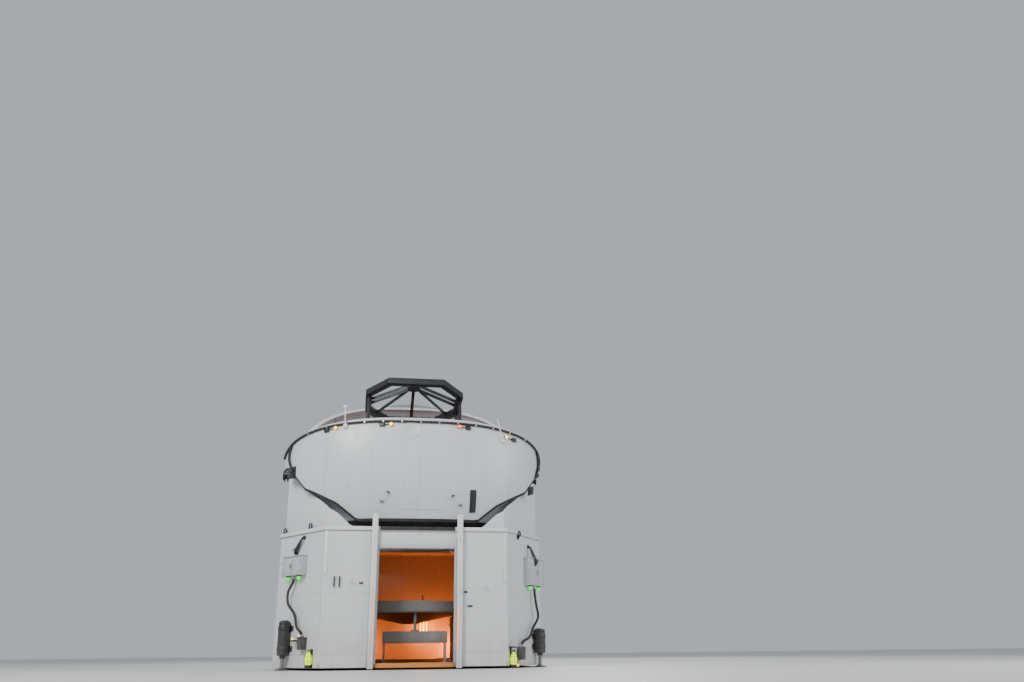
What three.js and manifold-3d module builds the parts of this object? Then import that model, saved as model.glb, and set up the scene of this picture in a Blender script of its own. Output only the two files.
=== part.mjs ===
// Transportable telescope enclosure: an eight-sided body on four jacks, a four-petal clamshell
// dome that opens about one cross axis, and the fork telescope that stands inside it.
// Millimetres, +Z up, front towards -Y, origin on the ground under the centre of the body.

import * as THREE from "three";
import { mergeVertices } from "three/addons/utils/BufferGeometryUtils.js";
import Module from "manifold-3d";

const wasm = await Module();
wasm.setup();

// Body plan: half depth to the front face, half width to the side face, and where the corners cut in
const halfDepth = 2280;
const halfWidth = 2540;
const frontHalf = 1660;
const sideHalf = 950;
const wallThick = 80;
const floorBottom = 40;
const floorTop = 100;
const wallTop = 2420;
const ledgeThick = 50;
const seatGap = 0.3;

const ledgeOverhang = 20;
const ledgeOpening = [1000, 1640, 1900, 640];

// Doorway
const doorHalf = 700;
const doorHeight = 2100;
const railWidth = 100;
const railDepth = 80;
const railBottom = 20;
const railTop = 2700;
const railSetback = 30;
const railStandoff = 21;

// Clamshell: every shell is turned about one cross axis and shares one squarish profile
const pivotZ = 3800;
const shellHalfWidth = 2640;
const shellRadius = 2450;
const shellThick = 40;
const shellStep = 110;
const profilePower = 2.75;
const profileSteps = 14;
const petalSteps = 8;
const hubRadius = 230;
const eyeRadius = 130;
const eyeThick = 18;
const eyeLap = 60;
const shaftRadius = 75;

// Lower edge of the front outer petal, seen from the front: level in the middle, then up to the pivots
const edgeCorners = [[0, 2612], [1130, 2612], [1500, 2900], [2120, 3220], [2500, 3720]];
const petalSpan = 46;
const frontInnerLift = 2;
const rearInnerLift = 9;
const outerSwing = 29;
const lap = 2;
const fixedThick = 50;
const fixedSteps = 16;

// Skirt panels between the ledge and the petals' edge, open across the middle of the front and back
const skirtInset = 60;
const skirtThick = 50;
const skirtTop = 3560;
const skirtOpening = 1200;
const skirtClear = 2;

// Telescope
const tubeTilt = 10;
const ringHalf = 1065;
const ringCorners = [590, 441];
const ringSection = 140;
const ringHeight = 1790;
const hubRise = 330;
const hubHeight = 100;
const hubAcross = 280;
const centreAcross = 2160;
const centreHeight = 450;
const tubeInner = 1900;
const cellRadius = 1050;
const cellDepth = 800;
const mirrorRadius = 910;
const rodRadius = 35;
const armInner = 1150;
const armThick = 190;
const armDepth = 700;
const armShoulder = 1720;
const armHead = 250;
const trunnionRadius = 130;
const tableRadius = 1350;
const tableTop = 1220;
const trackZ = 1000;
const tableBottom = 830;

// Trestle in front of the turntable's middle, with the post that guides its track
const trestlePlace = [60, -1200];
const beamHalf = 608;
const beamDepth = 110;
const beamLow = 450;
const beamHigh = 665;
const legThick = 35;
const postRadius = 28;

// Fittings of the two front corner faces: distances along the face run outward from its middle
const cornerFittings = {
  left: { box: 110, boxLow: 1646, lowBox: -300, lowBottom: 350, lowTop: 560, lamp: -560, lampLow: 50,
    bends: [[215, 110, 1364], [180, 120, 1163], [-60, 110, 963], [-170, 100, 720]] },
  right: { box: 330, boxLow: 1483, lowBox: -300, lowBottom: 140, lowTop: 360, lamp: -670, lampLow: 15,
    bends: [[335, 110, 1130], [395, 120, 915], [160, 110, 710], [0, 100, 540]] },
};
const boxHigh = 1990;
const boxDepth = 150;
const lowBoxHalf = 80;
const lowBoxDepth = 120;
const hoseRadius = 25;
const lampHeight = 310;

// Levelling jacks: place outward from the middle of the corner face, and top of the housing
const jackPlaces = {
  front_left: [260, 850], front_right: [480, 690], rear_left: [480, 850], rear_right: [480, 850],
};
const jackRadius = 105;
const jackOut = 112;
const jackBottom = 250;

const degree = Math.PI / 180;
const parts = new THREE.Group();
parts.name = "observatory_dome";

const finishes = {
  shell: { color: 0xd9dadb, roughness: 0.45, metalness: 0.1 },
  wall: { color: 0xcfd1d2, roughness: 0.5, metalness: 0.1 },
  dark: { color: 0x1c1d1f, roughness: 0.5, metalness: 0.4 },
  frame: { color: 0x3a3c3f, roughness: 0.45, metalness: 0.6 },
  floor: { color: 0x5a5752, roughness: 0.7, metalness: 0.2 },
  tube: { color: 0x2a2b2d, roughness: 0.5, metalness: 0.4 },
  fork: { color: 0xc9c6bf, roughness: 0.45, metalness: 0.3 },
  glass: { color: 0xb8c4cc, roughness: 0.1, metalness: 0.9 },
  lime: { color: 0xb6f03a, roughness: 0.3, metalness: 0.0 },
  amber: { color: 0xffb050, roughness: 0.3, metalness: 0.0 },
  hose: { color: 0x151515, roughness: 0.8, metalness: 0.0 },
};

function toSolid(geometry) {
  const bare = geometry.clone();
  bare.deleteAttribute("normal");
  bare.deleteAttribute("uv");
  const merged = mergeVertices(bare, 1e-3);
  return new wasm.Manifold(new wasm.Mesh({
    numProp: 3,
    vertProperties: new Float32Array(merged.attributes.position.array),
    triVerts: new Uint32Array(merged.index.array),
  }));
}

function toGeometry(solid) {
  const mesh = solid.getMesh();
  const geometry = new THREE.BufferGeometry();
  geometry.setAttribute("position", new THREE.BufferAttribute(new Float32Array(mesh.vertProperties), 3));
  geometry.setIndex(new THREE.BufferAttribute(new Uint32Array(mesh.triVerts), 1));
  geometry.computeVertexNormals();
  return geometry;
}

function join(solids) {
  return solids.reduce((sum, solid) => sum.add(solid));
}

function addPart(name, finish, geometry, parent = parts) {
  const material = new THREE.MeshStandardMaterial({ ...finishes[finish], name: finish });
  const mesh = new THREE.Mesh(geometry, material);
  mesh.name = name;
  parent.add(mesh);
  return mesh;
}

function box(x0, x1, y0, y1, z0, z1) {
  const geometry = new THREE.BoxGeometry(x1 - x0, y1 - y0, z1 - z0);
  return geometry.translate((x0 + x1) / 2, (y0 + y1) / 2, (z0 + z1) / 2);
}

function outline(points) {
  return new THREE.Shape(points.map(([x, y]) => new THREE.Vector2(x, y)));
}

// Straight prism of an outline in plan, from z0 up to z1
function prism(points, z0, z1) {
  const geometry = new THREE.ExtrudeGeometry(outline(points), { depth: z1 - z0, bevelEnabled: false });
  return geometry.translate(0, 0, z0);
}

// Prism of a shape drawn in the Y-Z plane, from x0 to x1
function crossPrism(shape, x0, x1) {
  const options = { depth: x1 - x0, bevelEnabled: false, curveSegments: 12 };
  const geometry = new THREE.ExtrudeGeometry(shape, options);
  const turn = new THREE.Matrix4().makeBasis(
    new THREE.Vector3(0, 1, 0), new THREE.Vector3(0, 0, 1), new THREE.Vector3(1, 0, 0));
  return geometry.applyMatrix4(turn).translate(x0, 0, 0);
}

function roundBar(radius, x0, x1, sides = 32) {
  const geometry = new THREE.CylinderGeometry(radius, radius, x1 - x0, sides);
  return geometry.rotateZ(-Math.PI / 2).translate((x0 + x1) / 2, 0, 0);
}

// Bar between two points
function rod(from, to, radius, sides = 10) {
  const start = new THREE.Vector3(...from);
  const end = new THREE.Vector3(...to);
  const along = end.clone().sub(start);
  const geometry = new THREE.CylinderGeometry(radius, radius, along.length(), sides);
  const turn = new THREE.Quaternion().setFromUnitVectors(
    new THREE.Vector3(0, 1, 0), along.clone().normalize());
  geometry.applyQuaternion(turn);
  const middle = start.add(end).multiplyScalar(0.5);
  return geometry.translate(middle.x, middle.y, middle.z);
}

// Body of revolution about Z from [radius, height] points
function turned(points, sides) {
  const section = points.map(([r, z]) => new THREE.Vector2(r, z));
  return toSolid(new THREE.LatheGeometry(section, sides).rotateX(Math.PI / 2));
}

function roundedRect(width, depth, radius) {
  const shape = new THREE.Shape();
  const x = width / 2;
  const y = depth / 2;
  shape.moveTo(-x + radius, -y);
  shape.lineTo(x - radius, -y);
  shape.absarc(x - radius, -y + radius, radius, -Math.PI / 2, 0);
  shape.lineTo(x, y - radius);
  shape.absarc(x - radius, y - radius, radius, 0, Math.PI / 2);
  shape.lineTo(-x + radius, y);
  shape.absarc(-x + radius, y - radius, radius, Math.PI / 2, Math.PI);
  shape.lineTo(-x, -y + radius);
  shape.absarc(-x + radius, -y + radius, radius, Math.PI, 1.5 * Math.PI);
  return shape;
}

// Corners of the eight-sided plan, counter-clockwise from the front face's left end
function eightSides(front, depth, width, side) {
  return [[-front, -depth], [front, -depth], [width, -side], [width, side],
    [front, depth], [-front, depth], [-width, side], [-width, -side]];
}

// The same plan with every side moved in by a distance
function inset(points, distance) {
  const count = points.length;
  const lines = points.map((point, i) => {
    const next = points[(i + 1) % count];
    const length = Math.hypot(next[0] - point[0], next[1] - point[1]);
    const along = [(next[0] - point[0]) / length, (next[1] - point[1]) / length];
    return { along, start: [point[0] - along[1] * distance, point[1] + along[0] * distance] };
  });
  return lines.map((line, i) => {
    const before = lines[(i + count - 1) % count];
    const cross = before.along[0] * line.along[1] - before.along[1] * line.along[0];
    const gap = [line.start[0] - before.start[0], line.start[1] - before.start[1]];
    const reach = (gap[0] * line.along[1] - gap[1] * line.along[0]) / cross;
    return [before.start[0] + before.along[0] * reach, before.start[1] + before.along[1] * reach];
  });
}

// One mitred side between two nested plans, a hair short at both ends
function sidePlan(outer, inner, i) {
  const next = (i + 1) % outer.length;
  const length = Math.hypot(outer[next][0] - outer[i][0], outer[next][1] - outer[i][1]);
  const trim = [(outer[next][0] - outer[i][0]) / length * seatGap / 2,
    (outer[next][1] - outer[i][1]) / length * seatGap / 2];
  return [
    [outer[i][0] + trim[0], outer[i][1] + trim[1]],
    [outer[next][0] - trim[0], outer[next][1] - trim[1]],
    [inner[next][0] - trim[0], inner[next][1] - trim[1]],
    [inner[i][0] + trim[0], inner[i][1] + trim[1]],
  ];
}

// Body: floor, walls and the ledge round the dome
const plan = eightSides(frontHalf, halfDepth, halfWidth, sideHalf);
const innerPlan = inset(plan, wallThick);

function body() {
  addPart("floor", "floor", prism(plan, floorBottom, floorTop));
  const base = floorTop + seatGap;
  const frontPlan = sidePlan(plan, innerPlan, 0);
  const leftJamb = [frontPlan[0], [-doorHalf, -halfDepth], [-doorHalf, -halfDepth + wallThick], frontPlan[3]];
  const rightJamb = [[doorHalf, -halfDepth], frontPlan[1], frontPlan[2], [doorHalf, -halfDepth + wallThick]];
  addPart("front_wall_left", "wall", prism(leftJamb, base, wallTop));
  addPart("front_wall_right", "wall", prism(rightJamb, base, wallTop));
  const lintelHalf = doorHalf - seatGap;
  addPart("front_lintel", "wall",
    box(-lintelHalf, lintelHalf, -halfDepth, -halfDepth + wallThick, doorHeight, wallTop));
  const sideNames = ["", "front_right_corner_wall", "right_side_wall", "rear_right_corner_wall", "rear_wall",
    "rear_left_corner_wall", "left_side_wall", "front_left_corner_wall"];
  sideNames.forEach((name, i) => {
    if (name) addPart(name, "wall", prism(sidePlan(plan, innerPlan, i), base, wallTop));
  });
  const overhang = toSolid(prism(inset(plan, -ledgeOverhang), wallTop + seatGap, wallTop + ledgeThick));
  const opening = toSolid(prism(eightSides(...ledgeOpening), wallTop, wallTop + 2 * ledgeThick));
  addPart("roof_ledge", "wall", toGeometry(overhang.subtract(opening)));
}

// Doorway rails, standing proud of the front wall on either side
function doorRails() {
  [["left", -1], ["right", 1]].forEach(([name, side]) => {
    const middle = side * (doorHalf + railSetback + railWidth / 2);
    const back = -halfDepth - railStandoff;
    const half = railWidth / 2;
    const rail = box(middle - half, middle + half, back - railDepth, back, railBottom, railTop);
    const blocks = [400, 1300, 2200].map((z) =>
      box(middle - 30, middle + 30, back - 5, -halfDepth - seatGap, z, z + 80));
    addPart(`${name}_door_rail`, "wall", toGeometry(join([rail, ...blocks].map(toSolid))));
  });
}

// Half profile of a shell from one pole to the other: distance from the axis against place along it
function profile(across, radius) {
  const points = [];
  const start = Math.asin(Math.pow(hubRadius / radius, profilePower / 2));
  for (let i = 0; i <= profileSteps; i += 1) {
    const turn = start + (Math.PI - 2 * start) * i / profileSteps;
    const x = across * Math.sign(Math.cos(turn)) * Math.pow(Math.abs(Math.cos(turn)), 2 / profilePower);
    const r = radius * Math.pow(Math.sin(turn), 2 / profilePower);
    points.push(new THREE.Vector2(r, x));
  }
  return points;
}

function shellRadiusAt(x) {
  return shellRadius * Math.pow(1 - Math.pow(x / shellHalfWidth, profilePower), 1 / profilePower);
}

// Angle below the horizon, about the cross axis, of the front outer petal's lower edge at a place along it
function edgeAngle(place) {
  const x = Math.min(Math.abs(place), edgeCorners[edgeCorners.length - 1][0]);
  const i = Math.max(edgeCorners.findIndex((corner) => corner[0] >= x), 1);
  const [x0, z0] = edgeCorners[i - 1];
  const [x1, z1] = edgeCorners[i];
  const height = z0 + (z1 - z0) * (x - x0) / (x1 - x0);
  return Math.asin((height - pivotZ) / shellRadiusAt(x)) / degree;
}

// A closed section of [distance from axis, x] points, swept about the cross axis between two angles,
// each of which may differ along the axis
function sweep(section, low, high, facing, steps) {
  const count = section.length;
  const positions = [];
  for (let i = 0; i <= steps; i += 1) {
    section.forEach(([r, x]) => {
      const angle = (low(x) + (high(x) - low(x)) * i / steps) * degree;
      positions.push(x, facing * r * Math.cos(angle), pivotZ + r * Math.sin(angle));
    });
  }
  const faces = [];
  for (let i = 0; i < steps; i += 1) {
    for (let j = 0; j < count; j += 1) {
      const a = i * count + j;
      const b = i * count + (j + 1) % count;
      faces.push([a, b, b + count], [a, b + count, a + count]);
    }
  }
  const flat = section.map(([r, x]) => new THREE.Vector2(r, x));
  const last = steps * count;
  const sense = THREE.ShapeUtils.isClockWise(flat) ? 1 : -1;
  THREE.ShapeUtils.triangulateShape(flat, []).forEach(([a, b, c]) => {
    faces.push(sense > 0 ? [a, b, c] : [a, c, b]);
    faces.push(sense > 0 ? [last + a, last + c, last + b] : [last + a, last + b, last + c]);
  });
  const outward = sense * facing > 0 ? faces : faces.map(([a, b, c]) => [a, c, b]);
  const geometry = new THREE.BufferGeometry();
  geometry.setAttribute("position", new THREE.Float32BufferAttribute(positions, 3));
  geometry.setIndex(outward.flat());
  return geometry;
}

// Half of a profile, from the pole on one side to the middle
function halfProfile(across, radius, side) {
  const half = profile(across, radius).filter((point) => side * point.y > -seatGap);
  if (side < 0) half.reverse();
  return half.map((point) => [point.x, side * Math.max(Math.abs(point.y), seatGap / 2)]);
}

// Section of half a petal: the shell, with a plate at the pole that joins it to its eye. The plate and
// the eye lie on the shell's outer face at the front, and on its inner face at the rear
function petalSection(across, radius, side, facing) {
  const outer = halfProfile(across, radius, side);
  const inner = halfProfile(across - shellThick, radius - shellThick, side);
  const face = eyeFace(across, radius, facing);
  const away = facing < 0 ? eyeThick : -eyeThick;
  const tongue = eyeRadius - 20;
  const plate = [[hubRadius, side * face], [tongue, side * face],
    [tongue, side * (face + away)], [hubRadius + eyeLap, side * (face + away)]];
  if (facing < 0) return [...outer.slice(1), ...inner.reverse(), ...plate];
  return [...outer, ...inner.slice(1).reverse(), ...plate.reverse()];
}

// Distance of the shell's outer or inner face from the middle, where it begins at the pole
function eyeFace(across, radius, facing) {
  const skin = facing < 0 ? 0 : shellThick;
  return Math.round(profile(across - skin, radius - skin)[0].y);
}

// Petal: two halves of a shell sector, each with a bored eye
function petal(name, step, lift, facing) {
  const across = shellHalfWidth - step;
  const radius = shellRadius - step;
  const face = eyeFace(across, radius, facing);
  const eyeStart = facing < 0 ? face : face - eyeThick;
  const low = (x) => edgeAngle(x) + lift;
  const high = () => petalSpan - outerSwing + lift;
  [["left", -1], ["right", 1]].forEach(([sideName, side]) => {
    const shell = toSolid(sweep(petalSection(across, radius, side, facing), low, high, facing, petalSteps));
    const x0 = side < 0 ? -eyeStart - eyeThick : eyeStart;
    const eye = toSolid(roundBar(eyeRadius, x0, x0 + eyeThick).translate(0, 0, pivotZ));
    const bore = toSolid(roundBar(shaftRadius + 1, x0 - 5, x0 + eyeThick + 5).translate(0, 0, pivotZ));
    addPart(`${name}_petal_${sideName}`, "shell", toGeometry(shell.add(eye).subtract(bore)));
  });
}

function petals() {
  petal("front_outer", 0, 0, -1);
  petal("front_inner", shellStep, frontInnerLift, -1);
  petal("rear_outer", 0, outerSwing, 1);
  petal("rear_inner", shellStep, outerSwing + rearInnerLift, 1);
}

// Fixed shell that the petals fold down around, standing on the ledge: the closed petals lap over its edge
const shellBase = wallTop + ledgeThick + seatGap;
const fixedWidth = shellHalfWidth - 2 * shellStep;
const fixedRadius = shellRadius - 2 * shellStep;

function fixedShell() {
  const outer = profile(fixedWidth, fixedRadius).map((point) => [point.x, point.y]);
  const inner = profile(fixedWidth - fixedThick, fixedRadius - fixedThick).map((point) => [point.x, point.y]);
  const section = [...outer, ...inner.reverse()];
  const reach = shellRadius + 100;
  [["front", -1], ["rear", 1]].forEach(([name, facing]) => {
    const high = (x) => edgeAngle(x) + outerSwing + lap;
    const shell = toSolid(sweep(section, () => -90, high, facing, fixedSteps));
    const y0 = facing < 0 ? -reach : seatGap / 2;
    const y1 = y0 + reach - seatGap / 2;
    const keep = toSolid(box(-shellHalfWidth, shellHalfWidth, y0, y1, shellBase, 2 * pivotZ));
    addPart(`fixed_shell_${name}`, "shell", toGeometry(shell.intersect(keep)));
  });
}

// Skirt on each side: upright panels on the ledge, cut off along the petals' lower edge
function skirts() {
  const outerPlan = inset(plan, skirtInset);
  const ring = toSolid(prism(outerPlan, shellBase, skirtTop))
    .subtract(toSolid(prism(inset(outerPlan, skirtThick), shellBase - 10, skirtTop + 10)));
  const far = 2 * shellRadius;
  const places = profile(shellHalfWidth, shellRadius).map((point) => point.y);
  places[0] = far;
  places[profileSteps] = -far;
  const above = [-1, 1].flatMap((facing) => places.slice(1).map((x, i) => {
    const slice = [[far, places[i]], [far, x], [1, x], [1, places[i]]];
    return toSolid(sweep(slice, (at) => edgeAngle(at) - skirtClear, () => 90, facing, petalSteps));
  }));
  const room = 10;
  const bulk = profile(fixedWidth + room, fixedRadius + room).reverse();
  const inside = toSolid(new THREE.LatheGeometry(
    [new THREE.Vector2(0, bulk[0].y), ...bulk, new THREE.Vector2(0, bulk[profileSteps].y)], 48)
    .rotateZ(-Math.PI / 2).translate(0, 0, pivotZ));
  const whole = ring.subtract(join(above)).subtract(inside);
  [["left", -1], ["right", 1]].forEach(([name, side]) => {
    const x0 = side < 0 ? -far : skirtOpening;
    const keep = toSolid(box(x0, x0 + far - skirtOpening, -far, far, wallTop, 2 * pivotZ));
    addPart(`${name}_skirt`, "wall", toGeometry(whole.intersect(keep)));
  });
}

// Pivot posts inside the fixed shell, each with the shaft that carries the petals' eyes
function pivotPosts() {
  const inner = 2010;
  const outer = 2085;
  const half = 250;
  const capRadius = 100;
  const capStart = shellHalfWidth + 28;
  const capEnd = shellHalfWidth + 50;
  [["left", -1], ["right", 1]].forEach(([name, side]) => {
    const span = (from, to) => (side < 0 ? [-to, -from] : [from, to]);
    const post = box(...span(inner, outer), -half, half, shellBase, pivotZ + shaftRadius + 20);
    const shaft = roundBar(shaftRadius, ...span(inner, capStart + 10)).translate(0, 0, pivotZ);
    const cap = roundBar(capRadius, ...span(capStart, capEnd)).translate(0, 0, pivotZ);
    addPart(`${name}_pivot_post`, "dark", toGeometry(join([post, shaft, cap].map(toSolid))));
  });
}

// Frame of a corner face: x along the wall, -y straight out of it
const cornerTurn = Math.atan2(halfDepth - sideHalf, halfWidth - frontHalf);
function cornerFrame(side, facing) {
  const group = new THREE.Group();
  group.position.set(side * (frontHalf + halfWidth) / 2, facing * (halfDepth + sideHalf) / 2, 0);
  group.rotation.z = facing < 0 ? side * cornerTurn : Math.PI - side * cornerTurn;
  parts.add(group);
  return group;
}

// Levelling jack at each corner: foot plate, screw, round housing, and a bracket back to the wall
function jacks() {
  [["front_left", -1, -1], ["front_right", 1, -1], ["rear_left", -1, 1], ["rear_right", 1, 1]]
    .forEach(([name, side, facing]) => {
      const group = cornerFrame(side, facing);
      const [outward, top] = jackPlaces[name];
      const along = -side * facing * outward;
      const column = (radius, low, high, foot = radius) =>
        new THREE.CylinderGeometry(radius, foot, high - low, 24).rotateX(Math.PI / 2)
          .translate(along, -jackOut, (low + high) / 2);
      const bracket = box(along - 60, along + 60, -jackOut, -seatGap, jackBottom + 60, top - 60);
      const solids = [column(jackRadius - 25, top - 1, top + 20), column(jackRadius, jackBottom, top),
        column(38, 39, jackBottom + 1), column(110, 0, 40, 125), bracket].map(toSolid);
      addPart(`${name}_jack`, "dark", toGeometry(join(solids)), group);
    });
}

// Service box, the hose down from it, low box and ground lamp on each front corner
function frontCorner(name, side) {
  const group = cornerFrame(side, -1);
  const set = cornerFittings[name];
  const along = side * set.box;
  addPart(`${name}_service_box`, "wall",
    box(along - 330, along + 330, -boxDepth, -seatGap, set.boxLow, boxHigh), group);
  const lowX = side * set.lowBox;
  addPart(`${name}_low_box`, "dark",
    box(lowX - lowBoxHalf, lowX + lowBoxHalf, -lowBoxDepth, -seatGap, set.lowBottom, set.lowTop), group);
  const exit = [set.box, 80];
  const entry = [set.lowBox + 50, 65];
  const route = new THREE.CatmullRomCurve3([[...exit, set.boxLow - seatGap], [...exit, set.boxLow - 105],
    ...set.bends, [...entry, set.lowTop + 80], [...entry, set.lowTop + seatGap]]
    .map(([outward, out, z]) => new THREE.Vector3(side * outward, -out, z)));
  const section = new THREE.Shape().absarc(0, 0, hoseRadius, 0, 2 * Math.PI);
  const hose = new THREE.ExtrudeGeometry(section, { steps: 24, curveSegments: 5, extrudePath: route });
  addPart(`${name}_hose`, "hose", toGeometry(toSolid(hose)), group);
  const lampX = side * set.lamp;
  addPart(`${name}_ground_lamp`, "lime",
    box(lampX - 80, lampX + 80, -130, -seatGap, set.lampLow, set.lampLow + lampHeight), group);
}

// Inside the body: roller stands under the turntable, the trestle with its guide post, and a wall lamp
function insideFittings() {
  const place = 1160;
  const wheelZ = trackZ - 75;
  const standTop = wheelZ - 90;
  const solids = [30, 150, 210, 330].flatMap((angle) => {
    const turn = new THREE.Matrix4().makeRotationZ(angle * degree);
    const pieces = [
      box(0, place, -60, 60, floorTop + seatGap, 160),
      box(place - 90, place + 90, -90, 90, floorTop + seatGap, standTop),
      box(place - 90, place - 62, -60, 60, standTop - 1, wheelZ + 50),
      box(place + 62, place + 90, -60, 60, standTop - 1, wheelZ + 50),
      roundBar(trackZ - wheelZ - seatGap, place - 54, place + 54, 20).translate(0, 0, wheelZ),
      roundBar(16, place - 80, place + 80, 8).translate(0, 0, wheelZ),
    ];
    return pieces.map((piece) => toSolid(piece.applyMatrix4(turn)));
  });
  addPart("roller_base", "frame", toGeometry(join(solids)));
  const [midX, midY] = trestlePlace;
  const beam = box(midX - beamHalf, midX + beamHalf, midY - beamDepth, midY + beamDepth, beamLow, beamHigh);
  const legs = [-beamHalf + legThick, beamHalf - legThick].map((x) => box(midX + x - legThick / 2,
    midX + x + legThick / 2, midY - beamDepth, midY + beamDepth, floorTop + seatGap, beamLow + 1));
  const postLow = beamHigh - 1;
  const postHigh = trackZ - seatGap;
  const post = new THREE.CylinderGeometry(postRadius, postRadius, postHigh - postLow, 20)
    .rotateX(Math.PI / 2).translate(midX, midY, (postHigh + postLow) / 2);
  addPart("guide_trestle", "fork", toGeometry(join([beam, ...legs, post].map(toSolid))));
  const rearInner = halfDepth - wallThick;
  addPart("wall_lamp", "amber", box(360, 570, rearInner - 60, rearInner - seatGap, 715, 955));
}

// Turntable and fork
function fork() {
  const disc = [[0, tableBottom], [150, tableBottom], [960, trackZ], [1320, trackZ],
    [tableRadius, trackZ + 30], [tableRadius, tableTop], [0, tableTop]];
  addPart("turntable", "fork", toGeometry(turned(disc, 48)));
  ["left", "right"].forEach((name, i) => {
    const side = i * 2 - 1;
    const x0 = side < 0 ? -armInner - armThick : armInner;
    const half = armDepth / 2;
    const shape = new THREE.Shape();
    shape.moveTo(-half, tableTop + seatGap);
    shape.lineTo(half, tableTop + seatGap);
    shape.lineTo(half, armShoulder);
    shape.lineTo(armHead, pivotZ);
    shape.absarc(0, pivotZ, armHead, 0, Math.PI);
    shape.lineTo(-half, armShoulder);
    const plate = crossPrism(shape, x0, x0 + armThick);
    const bore = roundBar(trunnionRadius + 1, x0 - 10, x0 + armThick + 10, 32).translate(0, 0, pivotZ);
    addPart(`fork_arm_${name}`, "fork", toGeometry(toSolid(plate).subtract(toSolid(bore))));
  });
}

function octagon(across) {
  const half = across / 2;
  const corner = half * Math.tan(Math.PI / 8);
  return eightSides(corner, half, half, corner);
}

function eightSidedRing(outer, wall, z0, z1) {
  const inside = toSolid(prism(inset(outer, wall), z0 - 10, z1 + 10));
  return toSolid(prism(outer, z0, z1)).subtract(inside);
}

// Tube: centre section with trunnions, mirror cell and mirror, rods, top ring, and the hub on its vanes
function tube() {
  const group = new THREE.Group();
  group.position.set(0, 0, pivotZ);
  group.rotation.x = -tubeTilt * degree;
  parts.add(group);
  const half = centreHeight / 2;
  const centre = eightSidedRing(octagon(centreAcross), (centreAcross - tubeInner) / 2, -half, half);
  const trunnions = [-1, 1].map((side) => {
    const reach = armInner + armThick + 70;
    const x0 = centreAcross / 2 - 40;
    return toSolid(roundBar(trunnionRadius, side < 0 ? -reach : x0, side < 0 ? -x0 : reach, 32));
  });
  addPart("centre_section", "tube", toGeometry(join([centre, ...trunnions])), group);
  const cellTop = -half - seatGap;
  const cell = [[0, -cellDepth], [cellRadius, -cellDepth], [cellRadius, cellTop],
    [cellRadius - 50, cellTop], [cellRadius - 50, -cellDepth + 120], [0, -cellDepth + 120]];
  addPart("mirror_cell", "tube", toGeometry(turned(cell, 40)), group);
  const mirrorBase = -cellDepth + 120 + seatGap;
  const mirror = [[100, mirrorBase], [mirrorRadius, mirrorBase], [mirrorRadius, mirrorBase + 130],
    [mirrorRadius * 0.6, mirrorBase + 102], [100, mirrorBase + 90], [100, mirrorBase]];
  addPart("primary_mirror", "glass", toGeometry(turned(mirror, 40)), group);
  const ringLow = ringHeight - ringSection / 2;
  const ringPlan = eightSides(ringCorners[0], ringHalf, ringHalf, ringCorners[1]);
  addPart("top_ring", "dark",
    toGeometry(eightSidedRing(ringPlan, ringSection, ringLow, ringLow + ringSection)), group);
  const rodX = ringHalf - ringSection / 2;
  [["left", -1], ["right", 1]].forEach(([name, side]) => {
    const rods = [[-360, -560], [-360, -120], [360, 120], [360, 560]].map(([top, foot]) =>
      rod([side * rodX, foot, half + 15], [side * rodX, top, ringLow - 15], rodRadius, 12));
    const shoes = [-340, 340].map((y) =>
      box(side * rodX - 40, side * rodX + 40, y - 280, y + 280, half + seatGap, half + 30));
    const head = box(side * rodX - 40, side * rodX + 40, -420, 420, ringLow - 30, ringLow - seatGap);
    addPart(`${name}_truss`, "tube", toGeometry(join([...rods, ...shoes, head].map(toSolid))), group);
  });
  const hubBase = ringHeight + hubRise;
  const hub = new THREE.CylinderGeometry(hubAcross / 2, hubAcross / 2, hubHeight, 24).rotateX(Math.PI / 2)
    .translate(0, 0, hubBase + hubHeight / 2);
  const vane = (reach, offset, turn, width) => {
    const blade = outline([[reach, -20], [reach, 55], [80, hubRise + 90], [80, hubRise + 10]]);
    return new THREE.ExtrudeGeometry(blade, { depth: width, bevelEnabled: false })
      .rotateX(Math.PI / 2).translate(0, offset + width / 2, ringHeight).rotateZ(turn);
  };
  const straight = ringHalf - ringSection - seatGap;
  const slant = Math.atan2(ringHalf - ringCorners[0], ringHalf - ringCorners[1]);
  const diagonal = ringHalf * Math.cos(slant) + ringCorners[1] * Math.sin(slant) - ringSection - seatGap;
  const vanes = [[0, -100], [0, 100], [Math.PI, -100], [Math.PI, 100]]
    .map(([turn, offset]) => vane(straight, offset, turn, 18));
  vanes.push(vane(straight, 0, Math.PI / 2, 24), vane(straight, 0, -Math.PI / 2, 24));
  vanes.push(vane(diagonal, 0, slant, 18), vane(diagonal, 0, Math.PI - slant, 18));
  addPart("spider", "dark", toGeometry(join([hub, ...vanes].map(toSolid))), group);
}

body();
doorRails();
petals();
fixedShell();
skirts();
pivotPosts();
jacks();
frontCorner("left", -1);
frontCorner("right", 1);
insideFittings();
fork();
tube();

export default parts;
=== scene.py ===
import bpy
import bmesh
import math
from mathutils import Matrix, Vector


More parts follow.
